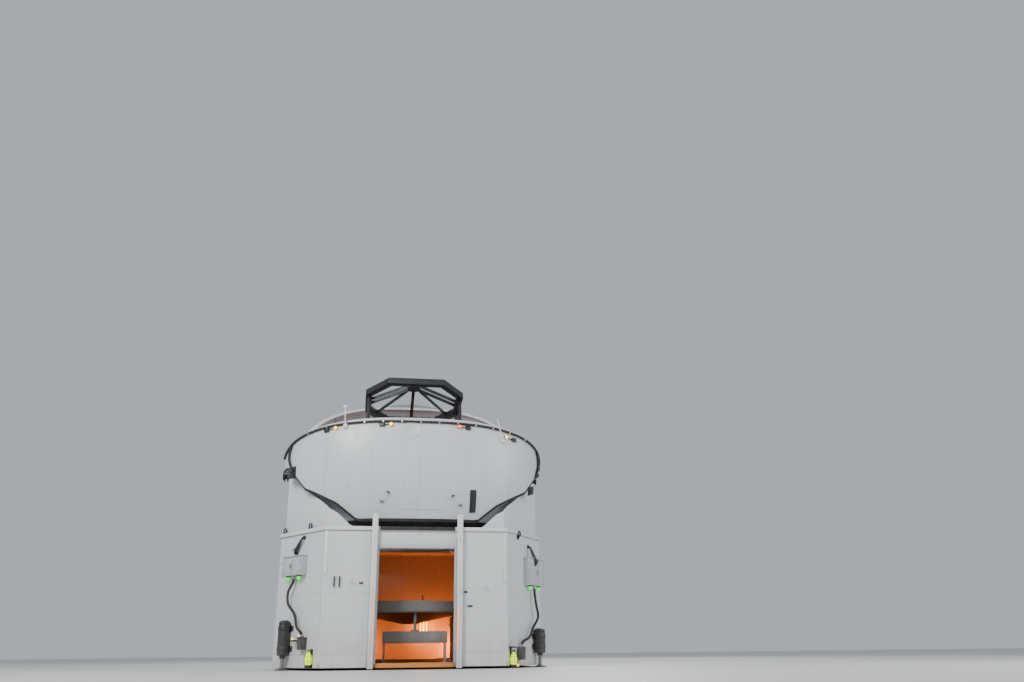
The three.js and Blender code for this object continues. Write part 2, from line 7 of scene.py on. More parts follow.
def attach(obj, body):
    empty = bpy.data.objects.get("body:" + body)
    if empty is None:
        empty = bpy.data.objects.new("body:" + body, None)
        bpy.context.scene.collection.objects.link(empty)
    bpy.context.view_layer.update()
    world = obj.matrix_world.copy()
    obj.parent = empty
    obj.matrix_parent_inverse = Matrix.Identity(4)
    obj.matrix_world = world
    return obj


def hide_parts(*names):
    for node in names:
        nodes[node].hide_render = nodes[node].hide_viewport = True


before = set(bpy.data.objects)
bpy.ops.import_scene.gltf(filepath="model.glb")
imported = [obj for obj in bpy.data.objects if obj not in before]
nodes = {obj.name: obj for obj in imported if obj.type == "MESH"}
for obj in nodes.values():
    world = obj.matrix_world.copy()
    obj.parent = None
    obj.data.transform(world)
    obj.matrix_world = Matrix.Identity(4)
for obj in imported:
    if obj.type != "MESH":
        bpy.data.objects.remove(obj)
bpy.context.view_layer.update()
print("frame loaded")


def newObject(name, data):
    thing = bpy.data.objects.new(name, data)
    bpy.context.collection.objects.link(thing)
    return thing


def newLight(name, kind, place, power, **settings):
    light = bpy.data.lights.new(name, kind)
    light.energy = power
    for key, value in settings.items():
        setattr(light, key, value)
    lamp = newObject(name, light)
    lamp.location = place
    return lamp


# Camera: near the ground, left of the doorway's centre line
photoCamera = {
    "place": (-1.061, -18.847, 0.292),
    "yaw": 9.809,
    "pitch": 19.393,
    "roll": -0.613,
    "focalPixels": 880.6,
    "photoWidth": 1024,
    "sensor": 36.0,
}


def makeCamera(c):
    yaw, pitch, roll = (math.radians(c[k]) for k in ("yaw", "pitch", "roll"))
    ahead = Vector((math.sin(yaw) * math.cos(pitch), math.cos(yaw) * math.cos(pitch), math.sin(pitch)))
    right = Vector((math.cos(yaw), -math.sin(yaw), 0))
    up = right.cross(ahead)
    tiltedRight = right * math.cos(roll) + up * math.sin(roll)
    tiltedUp = up * math.cos(roll) - right * math.sin(roll)
    data = bpy.data.cameras.new("photoCamera")
    data.sensor_width = c["sensor"]
    data.lens = c["sensor"] * c["focalPixels"] / c["photoWidth"]
    data.clip_end = 400
    camera = newObject("photoCamera", data)
    turn = Matrix((tiltedRight, tiltedUp, -ahead)).transposed()
    camera.matrix_world = Matrix.Translation(c["place"]) @ turn.to_4x4()
    bpy.context.scene.camera = camera


makeCamera(photoCamera)

# Soft studio: pale floor, even sky, a large key light from the front left
studio = {
    "floorHalf": 80,
    "floorColour": (0.62, 0.62, 0.61, 1),
    "skyColour": (0.86, 0.90, 0.96, 1),
    "skyStrength": 0.55,
    "aim": (0, 0, 2.5),
    "lights": (("keyLight", (-10, -15, 13), 7, 3200), ("fillLight", (13, -9, 7), 9, 900),
               ("backLight", (6, 15, 12), 8, 1500)),
}


def makeStage(s):
    mesh = bpy.data.meshes.new("stageFloor")
    half = s["floorHalf"]
    mesh.from_pydata([(-half, -half, 0), (half, -half, 0), (half, half, 0), (-half, half, 0)], [], [(0, 1, 2, 3)])
    mat = bpy.data.materials.new("paleFloor")
    mat.use_nodes = True
    mat.node_tree.nodes["Principled BSDF"].inputs["Base Color"].default_value = s["floorColour"]
    mesh.materials.append(mat)
    newObject("stageFloor", mesh)
    world = bpy.data.worlds.new("studio")
    world.use_nodes = True
    sky = world.node_tree.nodes["Background"].inputs
    sky[0].default_value, sky[1].default_value = s["skyColour"], s["skyStrength"]
    bpy.context.scene.world = world
    for name, place, size, power in s["lights"]:
        lamp = newLight(name, "AREA", place, power, size=size)
        lamp.rotation_euler = (Vector(s["aim"]) - Vector(place)).to_track_quat("-Z", "Y").to_euler()


makeStage(studio)


# Materials: each is a small node tree on Object coordinates
def newMaterial(name, roughness, metallic=0.0):
    mat = bpy.data.materials.new(name)
    mat.use_nodes = True
    shader = mat.node_tree.nodes["Principled BSDF"]
    shader.inputs["Roughness"].default_value = roughness
    shader.inputs["Metallic"].default_value = metallic
    return mat, mat.node_tree, shader.inputs


def wire(tree, value, socket):
    if isinstance(value, bpy.types.NodeSocket):
        tree.links.new(value, socket)
    else:
        socket.default_value = value


def addNode(tree, kind, settings=None, **inputs):
    node = tree.nodes.new(kind)
    for key, value in (settings or {}).items():
        setattr(node, key, value)
    for key, value in inputs.items():
        wire(tree, value, node.inputs[key])
    return node


def objectPlace(tree):
    return addNode(tree, "ShaderNodeTexCoord").outputs["Object"]


def heightOn(tree):
    return addNode(tree, "ShaderNodeSeparateXYZ", Vector=objectPlace(tree)).outputs["Z"]


def noiseOn(tree, scale, detail, stretch=(1, 1, 1), offset=(0, 0, 0)):
    mapped = addNode(tree, "ShaderNodeMapping", Vector=objectPlace(tree), Scale=stretch, Location=offset)
    noise = addNode(tree, "ShaderNodeTexNoise", Vector=mapped.outputs["Vector"], Scale=scale, Detail=detail)
    return noise.outputs["Fac"]


def between(tree, value, low, high, toLow=0, toHigh=1):
    ends = {"From Min": low, "From Max": high, "To Min": toLow, "To Max": toHigh}
    return addNode(tree, "ShaderNodeMapRange", Value=value, **ends).outputs["Result"]


def multiplied(tree, a, b):
    node = addNode(tree, "ShaderNodeMath", {"operation": "MULTIPLY"})
    wire(tree, a, node.inputs[0])
    wire(tree, b, node.inputs[1])
    return node.outputs[0]


def mixColour(tree, factor, a, b):
    node = addNode(tree, "ShaderNodeMix", {"data_type": "RGBA"})
    for index, value in ((0, factor), (6, a), (7, b)):
        wire(tree, value, node.inputs[index])
    return node.outputs[2]


def addBump(tree, shader, height, strength, distance):
    bump = addNode(tree, "ShaderNodeBump", Height=height, Strength=strength, Distance=distance)
    wire(tree, bump.outputs["Normal"], shader["Normal"])


def shade(colour, amount=1):
    return tuple(c * amount for c in colour) + (1,)


# Painted surface: cloudy tone, rain streaks down the faces, dust near the ground, fine orange peel
def paint(name, colour, rough=0.42, streak=0.9, dust=0.5, grime=(0.33, 0.29, 0.24)):
    mat, tree, shader = newMaterial(name, rough)
    clouds = between(tree, noiseOn(tree, 1.1, 5), 0.3, 0.7)
    tone = mixColour(tree, clouds, shade(colour, 0.93), shade(colour))
    streaks = between(tree, noiseOn(tree, 3.0, 6, (5, 5, 0.35)), 0.56, 0.8)
    tone = mixColour(tree, streaks, tone, shade(colour, streak))
    specks = between(tree, noiseOn(tree, 38, 3, (1, 1, 1), (3, 1, 7)), 0.66, 0.78, 0, 0.3)
    tone = mixColour(tree, specks, tone, shade(grime))
    if dust:
        low = between(tree, heightOn(tree), 0.0, 0.75, dust, 0.0)
        patch = between(tree, noiseOn(tree, 4.5, 6, (1, 1, 0.5)), 0.3, 0.7, 0.35, 1.0)
        tone = mixColour(tree, multiplied(tree, low, patch), tone, shade(grime))
    wire(tree, tone, shader["Base Color"])
    wire(tree, between(tree, noiseOn(tree, 7, 5), 0.3, 0.7, rough - 0.07, rough + 0.1), shader["Roughness"])
    addBump(tree, shader, noiseOn(tree, 160, 2), 0.25, 0.001)
    return mat


# Bare or coated metal with brushing along one direction
def metal(name, colour, rough=0.35, brush=(60, 4, 4), metallic=1.0, wear=0.82):
    mat, tree, shader = newMaterial(name, rough, metallic)
    grain = between(tree, noiseOn(tree, 3.0, 4, brush), 0.3, 0.7)
    wire(tree, mixColour(tree, grain, shade(colour, wear), shade(colour)), shader["Base Color"])
    wire(tree, between(tree, grain, 0, 1, rough - 0.06, rough + 0.12), shader["Roughness"])
    return mat


# Matt paint with painted shade below a height, for the shadowed underside of the turntable
def shadedBelow(name, colour, height, amount):
    mat = paint(name, colour, rough=0.8, dust=0)
    tree = mat.node_tree
    shader = tree.nodes["Principled BSDF"].inputs
    shader["Specular IOR Level"].default_value = 0.15
    tone = shader["Base Color"].links[0].from_socket
    # Painted shade: below the height the colour drops to amount times itself
    above = between(tree, heightOn(tree), height, height + 0.003)
    wire(tree, mixColour(tree, above, shade(colour, amount), tone), shader["Base Color"])
    return mat


def rubber(name, colour):
    mat, tree, shader = newMaterial(name, 0.72)
    bloom = between(tree, noiseOn(tree, 9, 5), 0.35, 0.75)
    wire(tree, mixColour(tree, bloom, shade(colour), shade(colour, 2.4)), shader["Base Color"])
    addBump(tree, shader, noiseOn(tree, 220, 3), 0.3, 0.0008)
    return mat


# Lit lens: moulded flutes, brighter in the middle bands
def lens(name, colour, strength, flute=90):
    mat, tree, shader = newMaterial(name, 0.18)
    shader["Coat Weight"].default_value = 0.6
    shader["Emission Strength"].default_value = strength
    wave = addNode(tree, "ShaderNodeTexWave", {"bands_direction": "Z"}, Vector=objectPlace(tree),
                   Scale=flute, Distortion=0.0)
    band = between(tree, wave.outputs["Fac"], 0, 1, 0.35, 1)
    wire(tree, mixColour(tree, band, shade(colour, 0.55), shade(colour)), shader["Base Color"])
    wire(tree, mixColour(tree, band, shade(colour, 0.7), shade(colour)), shader["Emission Color"])
    addBump(tree, shader, wave.outputs["Fac"], 0.4, 0.001)
    return mat


# Floor plate with raised lozenges
def treadPlate(name, colour):
    mat, tree, shader = newMaterial(name, 0.5, 0.3)
    turned = addNode(tree, "ShaderNodeMapping", Vector=objectPlace(tree), Rotation=(0, 0, math.radians(45)),
                     Scale=(1, 0.4, 1))
    cells = addNode(tree, "ShaderNodeTexVoronoi", {"distance": "MANHATTAN"}, Vector=turned.outputs["Vector"],
                    Scale=32, Randomness=0.0)
    stud = between(tree, cells.outputs["Distance"], 0.12, 0.3, 1, 0)
    worn = mixColour(tree, between(tree, noiseOn(tree, 5, 6), 0.35, 0.7), shade(colour, 0.6), shade(colour))
    wire(tree, mixColour(tree, stud, worn, shade(colour, 1.5)), shader["Base Color"])
    addBump(tree, shader, stud, 0.7, 0.003)
    return mat


def mirrorGlass(name):
    mat, tree, shader = newMaterial(name, 0.04, 1.0)
    haze = between(tree, noiseOn(tree, 2.0, 5), 0.4, 0.75)
    wire(tree, mixColour(tree, haze, (0.90, 0.92, 0.94, 1), (0.80, 0.83, 0.86, 1)), shader["Base Color"])
    wire(tree, between(tree, haze, 0, 1, 0.03, 0.12), shader["Roughness"])
    return mat


panelWhite = paint("panelWhite", (0.66, 0.67, 0.68))
railWhite = paint("railWhite", (0.72, 0.73, 0.73), rough=0.36)
domeWhite = paint("domeWhite", (0.63, 0.645, 0.66), rough=0.36, dust=0, streak=0.86)
skirtWhite = paint("skirtWhite", (0.66, 0.67, 0.68), dust=0)
cabinLining = paint("cabinLining", (0.42, 0.32, 0.22), rough=0.55, dust=0.2, streak=0.95)
domeLining = paint("domeLining", (0.46, 0.47, 0.485), rough=0.6, dust=0, streak=0.94)
blackSteel = paint("blackSteel", (0.022, 0.023, 0.026), rough=0.4, dust=0, grime=(0.09, 0.085, 0.08))
jackBlack = paint("jackBlack", (0.026, 0.027, 0.03), rough=0.45, dust=0.6, grime=(0.16, 0.14, 0.12))
tubeBlack = paint("tubeBlack", (0.020, 0.021, 0.024), rough=0.5, dust=0, grime=(0.07, 0.07, 0.07))
boxGrey = paint("boxGrey", (0.50, 0.52, 0.53), rough=0.4, dust=0)
boxDark = paint("boxDark", (0.055, 0.057, 0.062), rough=0.45, grime=(0.16, 0.14, 0.12))
frameGrey = paint("frameGrey", (0.15, 0.16, 0.175), rough=0.45, dust=0.3)
forkCream = paint("forkCream", (0.52, 0.50, 0.455), rough=0.4, dust=0.25)
floorSteel = treadPlate("floorSteel", (0.46, 0.41, 0.34))
steel = metal("steel", (0.56, 0.57, 0.58))
trimSteel = metal("trimSteel", (0.74, 0.75, 0.76), 0.42, (9, 9, 0.6), 0.35, 0.95)
rubberBlack = rubber("rubberBlack", (0.018, 0.018, 0.019))
mirrorSilver = mirrorGlass("mirrorSilver")
limeLens = lens("limeLens", (0.60, 0.85, 0.0), 1.9)
greenLens = lens("greenLens", (0.0, 0.80, 0.03), 1.7, 160)
warmLens = lens("warmLens", (1.0, 0.50, 0.06), 5.0, 200)
redLens = lens("redLens", (1.0, 0.08, 0.02), 4.0, 200)
yellowLens = lens("yellowLens", (1.0, 0.48, 0.03), 4.0, 160)
wallLens = lens("wallLens", (1.0, 0.56, 0.0), 4.0, 9)
# Glow on the rails' faces is painted light, leaking from the cabin past the door rails; no lamp
paintedLeakGlow = lens("paintedLeakGlow", (1.0, 0.30, 0.06), 1.8, 30)
# Pale glow on the edge strips is a painted glint, no lamp
paintedGlintGlow = lens("paintedGlintGlow", (0.70, 0.90, 0.62), 0.55, 60)
# Amber on the door threshold is painted light, the cabin's orange glow falling on the sill
sillPaintedLight = paint("sillPaintedLight", (0.62, 0.23, 0.05), rough=0.5, dust=0)
turntableGrey = paint("turntableGrey", (0.30, 0.295, 0.28), rough=0.45, dust=0)
# Turntable paint with painted shade, nearly black below the track height on its underside
turntableShadedBelow = shadedBelow("turntableShadedBelow", (0.30, 0.295, 0.28), 1.001, 0.13)
# Amber on the low beams is painted light, the cabin's orange glow on the floor frame
beamPaintedLight = paint("beamPaintedLight", (0.75, 0.36, 0.12), rough=0.5, dust=0)
plateGrey = paint("plateGrey", (0.56, 0.57, 0.57), dust=0)
print("materials ready")


# A finished mesh as a piece on a body, in place of the solids that it replaces
def keepMesh(name, mesh, mat, body="enclosure", replaced=(), sharp=32):
    mesh.materials.clear()
    mesh.materials.append(mat)
    for face in mesh.polygons:
        face.use_smooth = True
    mesh.set_sharp_from_angle(angle=math.radians(sharp))
    piece = newObject(name, mesh)
    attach(piece, body)
    if replaced:
        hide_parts(*replaced)
    return piece


# The object's mesh with its modifier applied
def applied(temporary):
    result = bpy.data.meshes.new_from_object(temporary.evaluated_get(bpy.context.evaluated_depsgraph_get()))
    bpy.data.objects.remove(temporary)
    return result


# The same for a bmesh, with its edges rounded by a Bevel modifier
def keep(name, bm, mat, body="enclosure", replaced=(), bevel=0.0, segments=2, sharp=32, clean=False):
    if clean:
        bmesh.ops.remove_doubles(bm, verts=bm.verts, dist=1e-5)
        bmesh.ops.recalc_face_normals(bm, faces=bm.faces)
    mesh = bpy.data.meshes.new(name)
    bm.to_mesh(mesh)
    bm.free()
    if bevel:
        temporary = newObject("softening", mesh)
        edge = temporary.modifiers.new("edge", "BEVEL")
        edge.width = bevel
        edge.segments = segments
        edge.limit_method = "ANGLE"
        edge.angle_limit = math.radians(28)
        edge.use_clamp_overlap = True
        mesh = applied(temporary)
    return keepMesh(name, mesh, mat, body, replaced, sharp)


# A carried-over solid with its loose triangles merged, flat faces dissolved and edges rounded
def refined(node, name, mat, bevel, segments=2, body="enclosure"):
    bm = bmesh.new()
    bm.from_mesh(nodes[node].data)
    bmesh.ops.remove_doubles(bm, verts=bm.verts, dist=2e-5)
    bmesh.ops.dissolve_limit(bm, angle_limit=math.radians(0.6), verts=bm.verts, edges=bm.edges)
    keep(name, bm, mat, body, (node,), bevel, segments)


# Equal turns round a circle, in radians
def circle(count):
    return [2 * math.pi * k / count for k in range(count)]


def plainName(node):
    return node.replace("_", " ").title().replace(" ", "")


# Box between two opposite corners, named in any order
def addBox(bm, a, b, turn=Matrix()):
    low, high = zip(*(sorted(pair) for pair in zip(a, b)))
    size = [h - l for l, h in zip(low, high)]
    middle = [(h + l) / 2 for l, h in zip(low, high)]
    bmesh.ops.create_cube(bm, size=1, matrix=turn @ Matrix.Translation(middle) @ Matrix.Diagonal(size + [1]))


def addRod(bm, start, end, radius, sides=16, endRadius=None, turn=Matrix()):
    a, b = Vector(start), Vector(end)
    along = b - a
    place = turn @ Matrix.Translation((a + b) / 2) @ along.to_track_quat("Z", "Y").to_matrix().to_4x4()
    bmesh.ops.create_cone(bm, cap_ends=True, segments=sides, radius1=radius,
                          radius2=radius if endRadius is None else endRadius, depth=along.length, matrix=place)


def addUpright(bm, x, y, z0, z1, radius, sides, endRadius=None, turn=Matrix()):
    addRod(bm, (x, y, z0), (x, y, z1), radius, sides, endRadius, turn)


# Tube that follows a line of points; radii may differ from ring to ring
def addTube(bm, points, radii, sides=12, closed=False):
    count = len(points)
    radii = radii if hasattr(radii, "__len__") else [radii] * count
    rings = []
    side = None
    for i, point in enumerate(points):
        before = points[(i - 1) % count] if closed or i else point
        after = points[(i + 1) % count] if closed or i < count - 1 else point
        along = (after - before).normalized()
        if side is None:
            side = along.orthogonal().normalized()
        side = (side - along * side.dot(along)).normalized()
        other = along.cross(side)
        rings.append([bm.verts.new(point + (side * math.cos(a) + other * math.sin(a)) * radii[i])
                      for a in circle(sides)])
    joinRings(bm, rings + rings[:1] if closed else rings)
    if not closed:
        bm.faces.new(list(reversed(rings[0])))
        bm.faces.new(rings[-1])


def joinRings(bm, rings):
    for a, b in zip(rings, rings[1:]):
        for k in range(len(a)):
            j = (k + 1) % len(a)
            bm.faces.new((a[k], a[j], b[j], b[k]))


# Turned shape: a profile of (reach, radius) pairs along a direction from a point
def addTurned(bm, turn, origin, along, profile, sides):
    line = [turn @ Vector([o + a * reach for o, a in zip(origin, along)]) for reach, radius in profile]
    addTube(bm, line, [radius for reach, radius in profile], sides)


# Smooth line through a few points
def centripetal(points, steps):
    count = len(points)
    samples = []
    for k in range(steps + 1):
        t = (count - 1) * k / steps
        i = min(int(t), count - 2)
        weight = t - i
        p1, p2 = points[i], points[i + 1]
        p0 = points[i - 1] if i > 0 else p1 * 2 - p2
        p3 = points[i + 2] if i + 2 < count else p2 * 2 - p1
        d0, d1, d2 = (max((b - a).length ** 0.5, 1e-4) for a, b in ((p0, p1), (p1, p2), (p2, p3)))
        m1 = ((p1 - p0) / d0 - (p2 - p0) / (d0 + d1) + (p2 - p1) / d1) * d1
        m2 = ((p2 - p1) / d1 - (p3 - p1) / (d1 + d2) + (p3 - p2) / d2) * d1
        a = 2 * p1 - 2 * p2 + m1 + m2
        b = -3 * p1 + 3 * p2 - 2 * m1 - m2
        samples.append(a * weight ** 3 + b * weight ** 2 + m1 * weight + p1)
    return samples


# Flat-ended prism of an outline in plan
def addPrism(bm, outline, z0, z1, turn=Matrix()):
    low, high = ([bm.verts.new(turn @ Vector((x, y, z))) for x, y in outline] for z in (z0, z1))
    bm.faces.new(list(reversed(low)))
    bm.faces.new(high)
    joinRings(bm, [low, high])


# Geometry Nodes: one fastener on each point, turned to the point's own direction
def fastenerTree(name, sides, dome):
    tree = bpy.data.node_groups.new(name, "GeometryNodeTree")
    for label, kind in (("Geometry", "Geometry"), ("Radius", "Float"), ("Height", "Float"), ("Finish", "Material")):
        tree.interface.new_socket(label, in_out="INPUT", socket_type="NodeSocket" + kind)
    tree.interface.new_socket("Geometry", in_out="OUTPUT", socket_type="NodeSocketGeometry")
    given = addNode(tree, "NodeGroupInput").outputs
    radii = {"Radius Bottom": given["Radius"], "Radius Top": multiplied(tree, given["Radius"], dome)}
    head = addNode(tree, "GeometryNodeMeshCone", Vertices=sides, Depth=given["Height"], **radii)
    aim = addNode(tree, "GeometryNodeInputNamedAttribute", {"data_type": "FLOAT_VECTOR"}, Name="aim")
    turn = addNode(tree, "FunctionNodeAlignRotationToVector", {"axis": "Z"}, Vector=aim.outputs["Attribute"])
    scatter = addNode(tree, "GeometryNodeInstanceOnPoints", Points=given["Geometry"], Instance=head.outputs["Mesh"],
                      Rotation=turn.outputs["Rotation"])
    real = addNode(tree, "GeometryNodeRealizeInstances", Geometry=scatter.outputs["Instances"])
    finish = addNode(tree, "GeometryNodeSetMaterial", Geometry=real.outputs["Geometry"], Material=given["Finish"])
    addNode(tree, "NodeGroupOutput", Geometry=finish.outputs["Geometry"])
    return tree


boltTree = fastenerTree("hexBolts", 6, 0.92)
rivetTree = fastenerTree("domeRivets", 10, 0.6)


# places: (point, direction) pairs in metres
def fasteners(name, places, radius, height, mat, body="enclosure", tree=boltTree):
    points = bpy.data.meshes.new(name + "Points")
    points.from_pydata([tuple(p) for p, aim in places], [], [])
    attribute = points.attributes.new("aim", "FLOAT_VECTOR", "POINT")
    attribute.data.foreach_set("vector", [c for p, aim in places for c in aim])
    temporary = newObject("scattering", points)
    scatter = temporary.modifiers.new("scatter", "NODES")
    scatter.node_group = tree
    settings = {"Radius": radius, "Height": height, "Finish": mat}
    for item in tree.interface.items_tree:
        if item.in_out == "INPUT" and item.name in settings:
            scatter[item.identifier] = settings[item.name]
    keepMesh(name, applied(temporary), mat, body)


# Cabin plan: eight sides, the same numbers as the walls
cabin = {
    "halfDepth": 2.28,
    "halfWidth": 2.54,
    "frontHalf": 1.66,
    "sideHalf": 0.95,
    "wall": 0.08,
    "floorTop": 0.10,
    "wallBase": 0.1003,
    "wallTop": 2.42,
    "ledgeTop": 2.47,
    "doorHalf": 0.70,
    "doorHeight": 2.10,
}
outward = (0, -1, 0)


def insetPlan(corners, inward):
    lines = []
    for a, b in sides(corners):
        along = (b - a).normalized()
        lines.append((a + Vector((-along.y, along.x)) * inward, along))
    result = []
    for i, (q, v) in enumerate(lines):
        p, u = lines[i - 1]
        reach = ((q - p).x * v.y - (q - p).y * v.x) / (u.x * v.y - u.y * v.x)
        result.append(tuple(p + u * reach))
    return result


def sides(corners):
    return [(Vector(corners[i]), Vector(corners[(i + 1) % len(corners)])) for i in range(len(corners))]


# Eight corners of a plan, from the front left one round by the right, as one quarter gives them
def eightCorners(x, y, nearX, nearY):
    return [(-nearX, -y), (nearX, -y), (x, -nearY), (x, nearY), (nearX, y), (-nearX, y), (-x, nearY), (-x, -nearY)]


def cabinPlan(inward=0.0):
    walls = eightCorners(cabin["halfWidth"], cabin["halfDepth"], cabin["frontHalf"], cabin["sideHalf"])
    return insetPlan(walls, inward)


# Frame on the outside of a wall: x along the wall from its middle, -y straight out, z up
def wallFrame(a, b):
    middle = (a + b) / 2
    along = (b - a).normalized()
    turn = Matrix.Rotation(math.atan2(along.y, along.x), 4, "Z")
    return Matrix.Translation((middle.x, middle.y, 0)) @ turn, (b - a).length


wallNodes = ("front_wall_left", "front_wall_right", "front_lintel", "front_right_corner_wall", "right_side_wall",
             "rear_right_corner_wall", "rear_wall", "rear_left_corner_wall", "left_side_wall", "front_left_corner_wall")
cladding = {
    "sheet": 0.004,
    "gap": 0.006,
    "margin": 0.03,
    "doorEdge": 0.845,  # the door rails' strip of the front wall stays bare
    "split": 1.30,
    "columns": (1, 1, 2, 1, 3, 1, 2, 1),
    "rivetInset": 0.025,
    "rivetPitch": 0.155,
    "rivetRadius": 0.006,
    "trimWidth": 0.05,
    "kick": 0.16,
}


def makeWalls(c):
    for node in wallNodes:
        refined(node, plainName(node) + "Panel", panelWhite, 0.003)
    sheets, kicks, rivets = bmesh.new(), bmesh.new(), []
    base, top, gap, inset = cabin["wallBase"], cabin["wallTop"], c["gap"] / 2, c["rivetInset"]
    for i, (a, b) in enumerate(sides(cabinPlan())):
        turn, length = wallFrame(a, b)
        out = turn.to_3x3() @ Vector(outward)
        left, right, count = -length / 2 + c["margin"], length / 2 - c["margin"], c["columns"][i]
        width = (length - 2 * c["margin"]) / count
        columns = [(left + width * k + gap * (k > 0), left + width * (k + 1) - gap * (k < count - 1))
                   for k in range(count)]
        ends = [(-length / 2 + 0.02, length / 2 - 0.02)]
        if i == 0:
            columns = [(left, -c["doorEdge"]), (c["doorEdge"], right)]
            ends = [(ends[0][0], -c["doorEdge"]), (c["doorEdge"], ends[0][1])]
        for x0, x1 in columns:
            for z0, z1 in ((base + c["kick"] + c["gap"], c["split"] - gap), (c["split"] + gap, top - 0.03)):
                addBox(sheets, (x0, -c["sheet"], z0), (x1, -0.0002, z1), turn)
                wide, high = x1 - x0 - 2 * inset, z1 - z0 - 2 * inset
                across, up = (max(2, round(size / c["rivetPitch"])) for size in (wide, high))
                line = [(x0 + inset + wide * k / across, z)
                        for k in range(across + 1) for z in (z0 + inset, z1 - inset)]
                line += [(x, z0 + inset + high * k / up) for k in range(1, up) for x in (x0 + inset, x1 - inset)]
                rivets += [(turn @ Vector((x, -c["sheet"] + 0.0005, z)), out) for x, z in line]
        for x0, x1 in ends:
            addBox(kicks, (x0, -0.006, base - 0.055), (x1, -0.0002, base + c["kick"]), turn)
    keep("wallSheets", sheets, panelWhite, bevel=0.0012, segments=1)
    fasteners("wallRivets", rivets, c["rivetRadius"], 0.0028, steel, tree=rivetTree)
    keep("kickPlates", kicks, railWhite, bevel=0.0015, segments=1)
    bm = bmesh.new()
    outer, inner = ([Vector(p) for p in cabinPlan(inward)] for inward in (-0.007, 0.0004))
    for i in range(8):
        (outA, skinA), (outB, skinB) = [[plan[i] + (plan[j % 8] - plan[i]).normalized() * c["trimWidth"]
                                         for plan in (outer, inner)] for j in (i - 1, i + 1)]
        outline = [outA, outer[i], outB, skinB, inner[i], skinA]
        addPrism(bm, [tuple(p) for p in outline], base + 0.012, top - 0.008)
    keep("cornerTrims", bm, trimSteel, bevel=0.002)


makeWalls(cladding)
print("walls done")


def alongPlan(corners, pitch):
    places = []
    for a, b in sides(corners):
        count = max(1, round((b - a).length / pitch))
        places += [a + (b - a) * (k + 0.5) / count for k in range(count)]
    return places


ledge = {"dripEdge": (2.405, 2.474), "boltInset": 0.028, "boltPitch": 0.24}


def makeLedge(l):
    refined("roof_ledge", "roofLedge", railWhite, 0.006, 3)
    refined("floor", "cabinFloor", floorSteel, 0.004)
    bm = bmesh.new()
    outer, inner = cabinPlan(-0.032), cabinPlan(-0.0204)
    for i in range(8):
        j = (i + 1) % 8
        addPrism(bm, [outer[i], outer[j], inner[j], inner[i]], *l["dripEdge"])
    keep("ledgeDripEdge", bm, railWhite, bevel=0.002, clean=True)
    places = [(Vector((p.x, p.y, cabin["ledgeTop"] + 0.004)), (0, 0, 1))
              for p in alongPlan(cabinPlan(l["boltInset"]), l["boltPitch"])]
    fasteners("ledgeBolts", places, 0.011, 0.009, steel)


makeLedge(ledge)
print("ledge done")

doorway = {
    "liner": 0.012,
    "threshold": 0.14,
    "railWidth": 0.10,
    "railDepth": 0.08,
    "railMiddle": 0.78,
    "railFace": -2.301,
    "railTop": 2.70,
    "railBottom": 0.02,
    "railWeb": 0.008,
    "blockHeights": (0.44, 1.34, 2.24),
}


def makeDoorway(d):
    half, top = cabin["doorHalf"], cabin["doorHeight"]
    front = -cabin["halfDepth"]
    back = front + cabin["wall"]
    bm = bmesh.new()
    for side in (-1, 1):
        addBox(bm, (side * (half - d["liner"]), front - 0.006, cabin["floorTop"] + 0.001),
               (side * (half - 0.0004), back + 0.006, top - 0.001))
        addBox(bm, (side * (half + 0.0004), front - 0.0085, cabin["floorTop"] + 0.001),
               (side * (half + 0.026), front - 0.0003, top + 0.055))
    addBox(bm, (-half + 0.001, front - 0.006, top - d["liner"]), (half - 0.001, back + 0.006, top - 0.0004))
    addBox(bm, (-half, front - 0.008, top + 0.0005), (half, front - 0.0003, top + 0.055))
    keep("doorLiner", bm, boxGrey, bevel=0.0015)
    # Threshold and its front face in amber: painted light from the cabin's orange glow
    bm = bmesh.new()
    addBox(bm, (-half + 0.014, front - 0.012, 0.1005), (half - 0.014, front + d["threshold"], 0.110))
    addBox(bm, (-half + 0.014, front - 0.012, 0.035), (half - 0.014, front - 0.0003, 0.1004))
    for k in range(3):
        y = front + 0.02 + 0.04 * k
        addBox(bm, (-half + 0.03, y, 0.1101), (half - 0.03, y + 0.014, 0.1135))
    keep("doorThreshold", bm, sillPaintedLight, bevel=0.0025)
    w, face, deep, web = d["railWidth"] / 2, d["railFace"], d["railFace"] - d["railDepth"], d["railWeb"]
    low, high = d["railBottom"], d["railTop"]
    for name, side in (("left", -1), ("right", 1)):
        x = side * d["railMiddle"]
        bm = bmesh.new()
        for x0, x1, y0, y1 in ((-w, w, deep, deep + web), (-w, -w + web, deep + web, face),
                               (w - web, w, deep + web, face), (-w + web, -w + 0.032, face - web, face),
                               (w - 0.032, w - web, face - web, face)):
            addBox(bm, (x + x0, y0, low), (x + x1, y1, high))
        addBox(bm, (x - w - 0.003, deep - 0.003, high), (x + w + 0.003, face + 0.003, high + 0.006))
        keep(name + "DoorRail", bm, railWhite, replaced=(name + "_door_rail",), bevel=0.002)
        bm = bmesh.new()
        places = []
        for z in d["blockHeights"]:
            addBox(bm, (x - 0.03, deep + web, z - 0.04), (x + 0.03, front - 0.0003, z + 0.04))
            addBox(bm, (x - 0.075, front - 0.010, z - 0.06), (x + 0.075, front - 0.0003, z + 0.06))
            places += [(Vector((x + dx, front - 0.013, z + dz)), outward)
                       for dx in (-0.058, 0.058) for dz in (-0.04, 0.04)]
            places += [(Vector((x, deep - 0.003, z + dz)), outward) for dz in (-0.025, 0.025)]
        keep(name + "RailBrackets", bm, boxGrey, bevel=0.003)
        fasteners(name + "RailBolts", places, 0.010, 0.008, steel)


makeDoorway(doorway)
